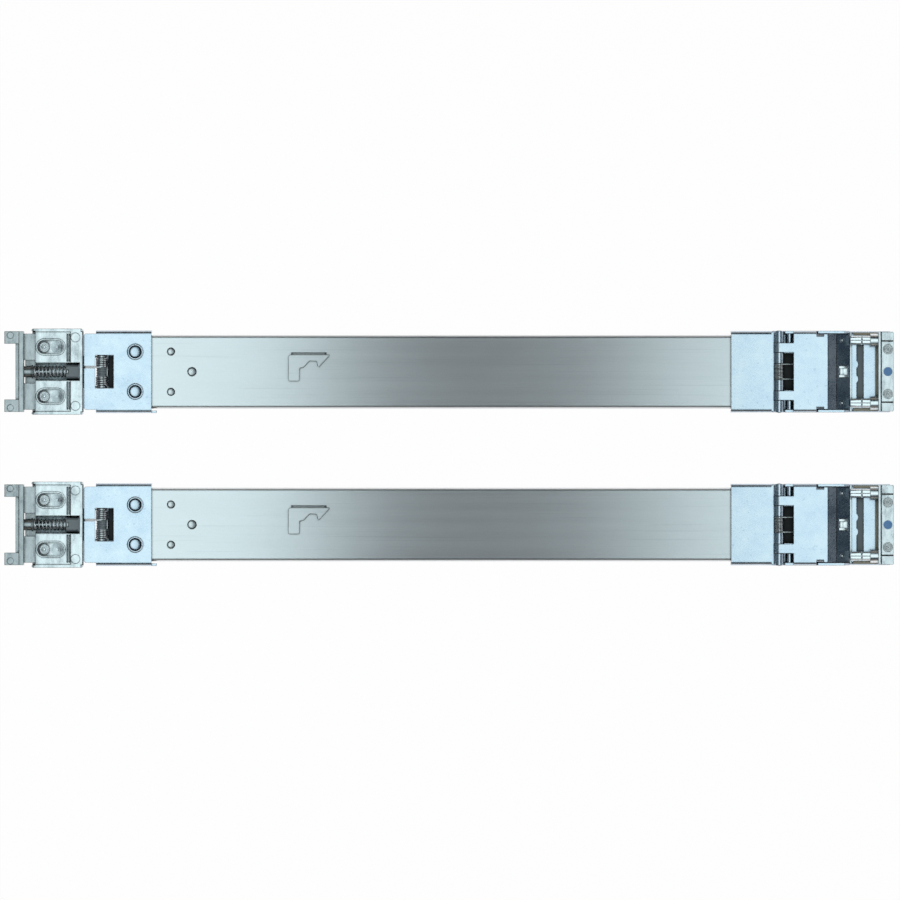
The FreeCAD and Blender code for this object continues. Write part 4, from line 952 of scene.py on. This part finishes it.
# %% Lathe
def turned(x, y, z, profile, sides=48):
    """A turned piece standing on (x, y, z).

    The profile lists a radius and a height, in millimetres, for each step from the rim inwards.
    """
    bpy.ops.object.select_all(action="DESELECT")
    radius, height = profile[0]
    bpy.ops.mesh.primitive_circle_add(vertices=sides, radius=radius * MM, fill_type="NGON",
                                      location=(x, y, z + height * MM))
    piece = added()
    edit(piece, "FACE", action="SELECT")
    for next_radius, next_height in profile[1:]:
        rise = (next_height - height) * MM
        bpy.ops.mesh.extrude_region_move(TRANSFORM_OT_translate={"value": (0, 0, rise)})
        scale = next_radius / radius
        bpy.ops.transform.resize(value=(scale, scale, 1), center_override=(x, y, z))
        radius, height = next_radius, next_height
    done()
    return tidy(piece, angle=50.0)


print("lathe ready")

# %% [markdown]
# The guide studs of the latch show rings left by the lathe round a small centre mark.  A bump
# pattern could draw the rings but would leave the rim smooth, so they are steps of the profile.

# %% Guide studs
STUD_Y = 17.5 * MM
STUD_PROFILE = [(3.85, 0.0), (3.85, 3.1), (3.55, 3.45), (2.95, 3.5), (2.7, 2.9), (2.2, 2.9),
                (2.0, 3.4), (1.55, 3.5), (1.3, 2.95), (0.95, 2.95), (0.75, 3.4), (0.3, 3.5),
                (0.05, 3.52)]

low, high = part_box("rail_a_rear_guide_studs")
stud = turned((low.x + high.x) / 2, LINE - STUD_Y, low.z, STUD_PROFILE)
on_both_rails(join(both_sides(stud, STUD_Y)), "turned_guide_studs", "rear_yoke_body",
              "pin_steel", "rear_guide_studs")

# %% [markdown]
# The rivets of the ear are closed over with a ringed punch, which leaves two raised rings round a
# raised middle.  They are only 0.6 mm high, but real steps catch the light better than a pattern.

# %% Rivets of the ear
EAR_RIVET_Y = 15.875 * MM
EAR_RIVET = [(3.4, 0.0), (3.4, 0.4), (3.1, 0.6), (2.6, 0.6), (2.4, 0.42), (1.9, 0.42), (1.7, 0.58),
             (1.2, 0.62), (1.0, 0.45), (0.6, 0.45), (0.4, 0.6), (0.05, 0.62)]

low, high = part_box("rail_a_front_ear_rivets")
head = turned((low.x + high.x) / 2, LINE - EAR_RIVET_Y, low.z, EAR_RIVET)
on_both_rails(join(both_sides(head, EAR_RIVET_Y)), "ringed_ear_rivets", "outer_rails",
              "rivet_grey", "front_ear_rivets")

# %% [markdown]
# The rivets of the gate are small stems that stand upright in cups, for their heads are ground
# level with the gate's top.  The cups lie on the slope of the gate's nose, so cup and stem are
# turned apart, only the cup is tilted, and then the two are joined.

# %% Rivets of the gate
GATE_RIVET_Y = 22.22 * MM
GATE_RIVET_BACK = 0.1 * MM
GATE_RIVET_SINK = 0.33 * MM
GATE_RIVET_SIDES = 32
GATE_CUP = [(1.75, 0.0), (1.75, 0.35), (1.6, 0.4), (1.5, 0.1), (0.05, 0.1)]
GATE_STEM = [(0.95, -0.2), (0.95, 0.55), (0.8, 0.72), (0.05, 0.74)]
NOSE_SLOPE = 17.9

low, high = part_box("rail_a_front_gate_rivets")
spot = ((low.x + high.x) / 2 - GATE_RIVET_BACK, LINE - GATE_RIVET_Y,
        (low.z + high.z) / 2 - GATE_RIVET_SINK)
cup = tilt(turned(*spot, GATE_CUP, GATE_RIVET_SIDES), -NOSE_SLOPE, spot)
stem = turned(*spot, GATE_STEM, GATE_RIVET_SIDES)
on_both_rails(join(both_sides(join([cup, stem]), GATE_RIVET_Y)), "domed_gate_rivets",
              "gate_body", "pin_steel", "front_gate_rivets")

# %% [markdown]
# Each post pin is turned with a groove and a collar.  It is drawn upright and laid along X, then a
# flat is milled along its top by lowering the points above the flat, and a fine slot is sunk along
# the middle of it.  A Boolean cut would do the same and leave long thin triangles.

# %% Post pins
POST_PIN_Y = 22.225 * MM
POST_PIN_SIDES = 42
POST_PIN = [(2.6, 0.0), (2.8, 0.0), (3.2, 0.4), (3.2, 7.5), (1.8, 7.6), (1.8, 8.4),
            (3.2, 8.5), (3.2, 14.0), (4.7, 14.05), (4.7, 19.5), (4.6, 19.6), (0.05, 19.6)]
COLLAR_START = 14.02 * MM
FLAT_HEIGHT = 2.35 * MM
SLOT_END = 13.9 * MM
SLOT_HALF_WIDTH = 0.1 * MM
SLOT_FACE_HEIGHT = 2.3 * MM
SLOT_DEPTH = 0.9 * MM

low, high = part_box("rail_a_front_post_pins")
tip = Vector((low.x, LINE - POST_PIN_Y, (low.z + high.z) / 2))
pin = tilt(turned(*tip, POST_PIN, POST_PIN_SIDES), -90, tip)
edit(pin, "FACE")
mesh = bmesh.from_edit_mesh(pin.data)
for point in mesh.verts:
    if point.co.x < tip.x + COLLAR_START:
        point.co.z = min(point.co.z, tip.z + FLAT_HEIGHT)
for face in mesh.faces:
    face.normal_update()
    place = face.calc_center_median() - tip
    on_top = place.z > SLOT_FACE_HEIGHT and abs(place.y) < SLOT_HALF_WIDTH
    face.select = on_top and place.x < SLOT_END and abs(face.normal.x) < SIDEWAYS
bmesh.update_edit_mesh(pin.data)
bpy.ops.mesh.extrude_region_move(TRANSFORM_OT_translate={"value": (0, 0, -SLOT_DEPTH)})
done()
tidy(pin, angle=35.0)
on_both_rails(join(both_sides(pin, POST_PIN_Y)), "slotted_post_pins", "outer_rails",
              "pin_steel", "front_post_pins")

# %% [markdown]
# The release button is a plated pressing with two raised prongs.  A block is cut into fields, two
# of the fields are pulled up as prongs, the middle one is sunk, and all edges are bevelled.
# Prongs set on as blocks of their own would show a hard joint.

# %% Release buttons
BLOCK = Vector((6.6, 8.3, 1.6)) * MM
BLOCK_SINK = Vector((0, 0, 0.45)) * MM
FIELD_END = 2.9
MIDDLE_END = 0.1
PRONG_INSIDE, PRONG_OUTSIDE = 2.3, 3.95
PRONG_RISE, MIDDLE_RISE = 1.0, -0.6
BUTTON_TILT = -5.0

low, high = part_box("rail_a_front_release_button")
centre = Vector(((low.x + high.x) / 2, LINE, (low.z + high.z) / 2))
bpy.ops.object.select_all(action="DESELECT")
bpy.ops.mesh.primitive_cube_add(size=1, location=centre - BLOCK_SINK, scale=BLOCK)
button = added()
cuts = {
    (0, 1, 0): (-PRONG_OUTSIDE, -PRONG_INSIDE, PRONG_INSIDE, PRONG_OUTSIDE),
    (1, 0, 0): (-FIELD_END, MIDDLE_END, FIELD_END),
}
for normal, spots in cuts.items():
    for spot in spots:
        edit(button, action="SELECT")
        bpy.ops.mesh.bisect(plane_co=centre + Vector(normal) * spot * MM, plane_no=normal)
        done()

fields = ((PRONG_INSIDE, PRONG_OUTSIDE, FIELD_END, PRONG_RISE),
          (0.0, PRONG_INSIDE, MIDDLE_END, MIDDLE_RISE))
for inside, outside, end, rise in fields:
    edit(button, "FACE")
    mesh = bmesh.from_edit_mesh(button.data)
    for face in mesh.faces:
        spot = (face.calc_center_median() - centre) / MM
        field = inside <= abs(spot.y) < outside and -FIELD_END < spot.x < end
        face.select = face.normal.z > FACING and field
    bmesh.update_edit_mesh(button.data)
    bpy.ops.mesh.extrude_region_move(TRANSFORM_OT_translate={"value": (0, 0, rise * MM)})
    done()
tilt(button, BUTTON_TILT, centre)
tidy(bevel(button, width=0.12 * MM, segments=2), angle=35.0)
on_both_rails(button, "plated_release_button", "button_body", "pin_steel",
              "front_release_button")

# %% [markdown]
# ## Linings
# Thin strips of sheet, plastic and rubber show as lines and dark fields between the larger pieces;
# most of them paint shade, a highlight or a reflection there.
# A strip starts as a block between two corners, and all its edges are bevelled.

# %% Strips
def strip(low, high, rounding=0.1):
    """A flat strip between two corners, with softened edges, in millimetres."""
    low = Vector(low) * MM
    high = Vector(high) * MM
    bpy.ops.object.select_all(action="DESELECT")
    bpy.ops.mesh.primitive_cube_add(size=1, location=(low + high) / 2, scale=high - low)
    piece = added()
    edit(piece, "EDGE", action="SELECT")
    bpy.ops.mesh.bevel(offset=rounding * MM, segments=2, affect="EDGES")
    done()
    return tidy(piece)


def across(x_span, half_width, z_span, rounding=0.1):
    """A strip across the rail, centred on its line, in millimetres."""
    line = LINE / MM
    return strip((x_span[0], line - half_width, z_span[0]),
                 (x_span[1], line + half_width, z_span[1]), rounding)


print("strip tools ready")

# %% [markdown]
# The gap between the gate and the ear is lined with a bright polished strip where the gate closes,
# which paints the highlight on the edge there, a grey strip in the trough, and a frame of natural
# plastic round the panel, whose tan paints the brown reflection on the gap's bent edges.

# %% Linings of the front gap
GAP_FLOOR = 12.6
BEAD_Z = (GAP_FLOOR, GAP_FLOOR + 0.45)
PAD_Z = (GAP_FLOOR - 0.68, GAP_FLOOR - 0.25)
FRAME_Z = (GAP_FLOOR, GAP_FLOOR + 0.5)
FRAME_START, FRAME_BAR, FRAME_END = 287.0, 302.6, 303.9
FRAME_INSIDE, FRAME_OUTSIDE = 25.9, 27.8

# A bright polished strip that paints the highlight on the edge where the gate closes.
highlight_strip = across(x_span=(284.75, 286.1), half_width=28.0, z_span=BEAD_Z, rounding=0.12)
on_both_rails(highlight_strip, "closing_edge_highlight", "outer_rails", "pin_steel")
dark_strip = across(x_span=(289.75, 294.2), half_width=18.8, z_span=PAD_Z)
on_both_rails(dark_strip, "trough_grey_strip", "outer_rails", "seat_grey")

line = LINE / MM
# The frame's tan paints the brown reflection on the bent edges of the gap.
side_bar = strip((FRAME_START, line - FRAME_OUTSIDE, FRAME_Z[0]),
                 (FRAME_END, line - FRAME_INSIDE, FRAME_Z[1]))
frame_bars = both_sides(side_bar, (FRAME_INSIDE + FRAME_OUTSIDE) / 2 * MM)
frame_bars.append(across(x_span=(FRAME_BAR, FRAME_END), half_width=25.8, z_span=FRAME_Z))
on_both_rails(join(frame_bars), "gap_frame", "outer_rails", "cage_plastic")

# %% [markdown]
# Black lines run beside the ear's rivets, where its cap is let into the block.  They are thin
# strips, because a painted line has no edge to catch the light.

# %% Seams of the ear
SEAM_Y = 21.7
SEAM_HALF_WIDTH = 0.3
SEAM_MARGINS = (0.3, 0.4)
SEAM_BOTTOM, SEAM_TOP = 0.48, 0.1

low, high = (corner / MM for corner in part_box("rail_a_front_ear"))
seam = strip((low.x + SEAM_MARGINS[0], line - SEAM_Y - SEAM_HALF_WIDTH, high.z - SEAM_BOTTOM),
             (high.x - SEAM_MARGINS[1], line - SEAM_Y + SEAM_HALF_WIDTH, high.z - SEAM_TOP),
             rounding=0.05)
on_both_rails(join(both_sides(seam, SEAM_Y * MM)), "ear_seams", "outer_rails", "bumper")

# %% [markdown]
# Below the hinge's window lies a black sheet that paints the shade seen down through it, black
# washers part the hinge's knuckles, and a dark strip paints the shade of the crease where the
# gate's nose slopes down.  The washers are closed turns, made with the spring's own tool.

# %% Painted shade under the window, washers and crease shade
WASHER_RADIUS = 3.33 * MM
WASHER_WIRE = 0.30 * MM
WASHER_SPOTS = (-13.6, -20.4, 13.6, 20.4)
CREASE_Z = (17.78, 18.12)
CREASE_CENTRE = (274.9 * MM, LINE, sum(CREASE_Z) / 2 * MM)
CREASE_TILT = -21.0

# A black sheet that paints the shade seen down through the hinge's window.
window_shade_sheet = across(x_span=(237.15, 247.25), half_width=13.05, z_span=(11.5, 11.9))
on_both_rails(window_shade_sheet, "window_painted_shade", "outer_rails", "bumper")

pin = middle("rail_a_front_hinge_pin")
washers = [ring((pin.x, LINE + spot * MM, pin.z), "Y", WASHER_RADIUS, WASHER_WIRE)
           for spot in WASHER_SPOTS]
on_both_rails(join(washers), "hinge_washers", "outer_rails", "bumper")

# A dark strip that paints the shade of the crease where the nose slopes down.
crease = across(x_span=(274.6, 275.25), half_width=26.4, z_span=CREASE_Z, rounding=0.08)
on_both_rails(tilt(crease, CREASE_TILT, CREASE_CENTRE), "gate_crease_shade", "gate_body", "bumper")

# %% [markdown]
# At the rear, a black strip paints the shade in the gap between the head and the bracket, a
# black strip paints the shade under the pivot window, and each screw hole of the bracket shows
# the pressed dome that backs it.  The domes are turned as the rivets are and tilted a little, so
# that one side of them is lit.

# %% Linings of the rear end
SCREW_HOLE_X = -222.7 * MM
SCREW_HOLE_Y = 14.1 * MM
DOME_TILT = -6.0
DOME = [(4.3, -0.6), (4.3, 0.1), (4.15, 0.4), (3.8, 0.65), (3.1, 0.87), (2.1, 1.0), (1.0, 1.06),
        (0.05, 1.08)]

# A black strip that paints the shade in the gap between the head and the bracket.
gap_shade_strip = across(x_span=(-260.0, -259.3), half_width=28.6, z_span=(17.0, 19.2), rounding=0.15)
on_both_rails(gap_shade_strip, "head_gap_shade", "rear_head_body", "bumper")
# A black strip that paints the shade under the pivot window.
dark_strip = across(x_span=(-242.0, -238.4), half_width=11.2, z_span=(6.7, 8.6), rounding=0.2)
on_both_rails(dark_strip, "pivot_window_shade", "rear_bracket_body", "bumper")

low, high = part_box("rail_a_depth_arm")
spot = (SCREW_HOLE_X, LINE - SCREW_HOLE_Y, high.z)
dome = tilt(turned(*spot, DOME), DOME_TILT, spot)
on_both_rails(join(both_sides(dome, SCREW_HOLE_Y)), "screw_backing_domes",
              "rear_bracket_body", "zinc_plate")

# %% [markdown]
# Two small holes and one pressed guide near the rear of the outer member are closed from inside by
# domed plugs, which catch the light on one side and stay dark on the other.  The two small plugs
# are one plug and its copy.

# %% Plugs of the outer member
OUTER_TOP = 14.0 * MM
SMALL_HOLE_X, SMALL_HOLE_Y = -197.4 * MM, 14.3 * MM
GUIDE_X = -182.5 * MM
PLUG_SIDES = 36
SMALL_PLUG = [(2.7, -1.2), (2.7, -0.65), (2.5, -0.35), (2.1, -0.1), (1.5, 0.05), (0.8, 0.12),
              (0.05, 0.14)]
GUIDE_PLUG = [(3.15, -1.8), (3.15, -0.75), (2.95, -0.4), (2.4, -0.1), (1.6, 0.05), (0.8, 0.12),
              (0.05, 0.14)]


def plug(x, y, profile):
    """A plug in the outer member, tilted a little as a pressed one is."""
    spot = (x, y, OUTER_TOP)
    return tilt(turned(*spot, profile, PLUG_SIDES), DOME_TILT, spot)


plugs = both_sides(plug(SMALL_HOLE_X, LINE - SMALL_HOLE_Y, SMALL_PLUG), SMALL_HOLE_Y)
plugs.append(plug(GUIDE_X, LINE, GUIDE_PLUG))
on_both_rails(join(plugs), "domed_plugs", "outer_rails", "galvanised")
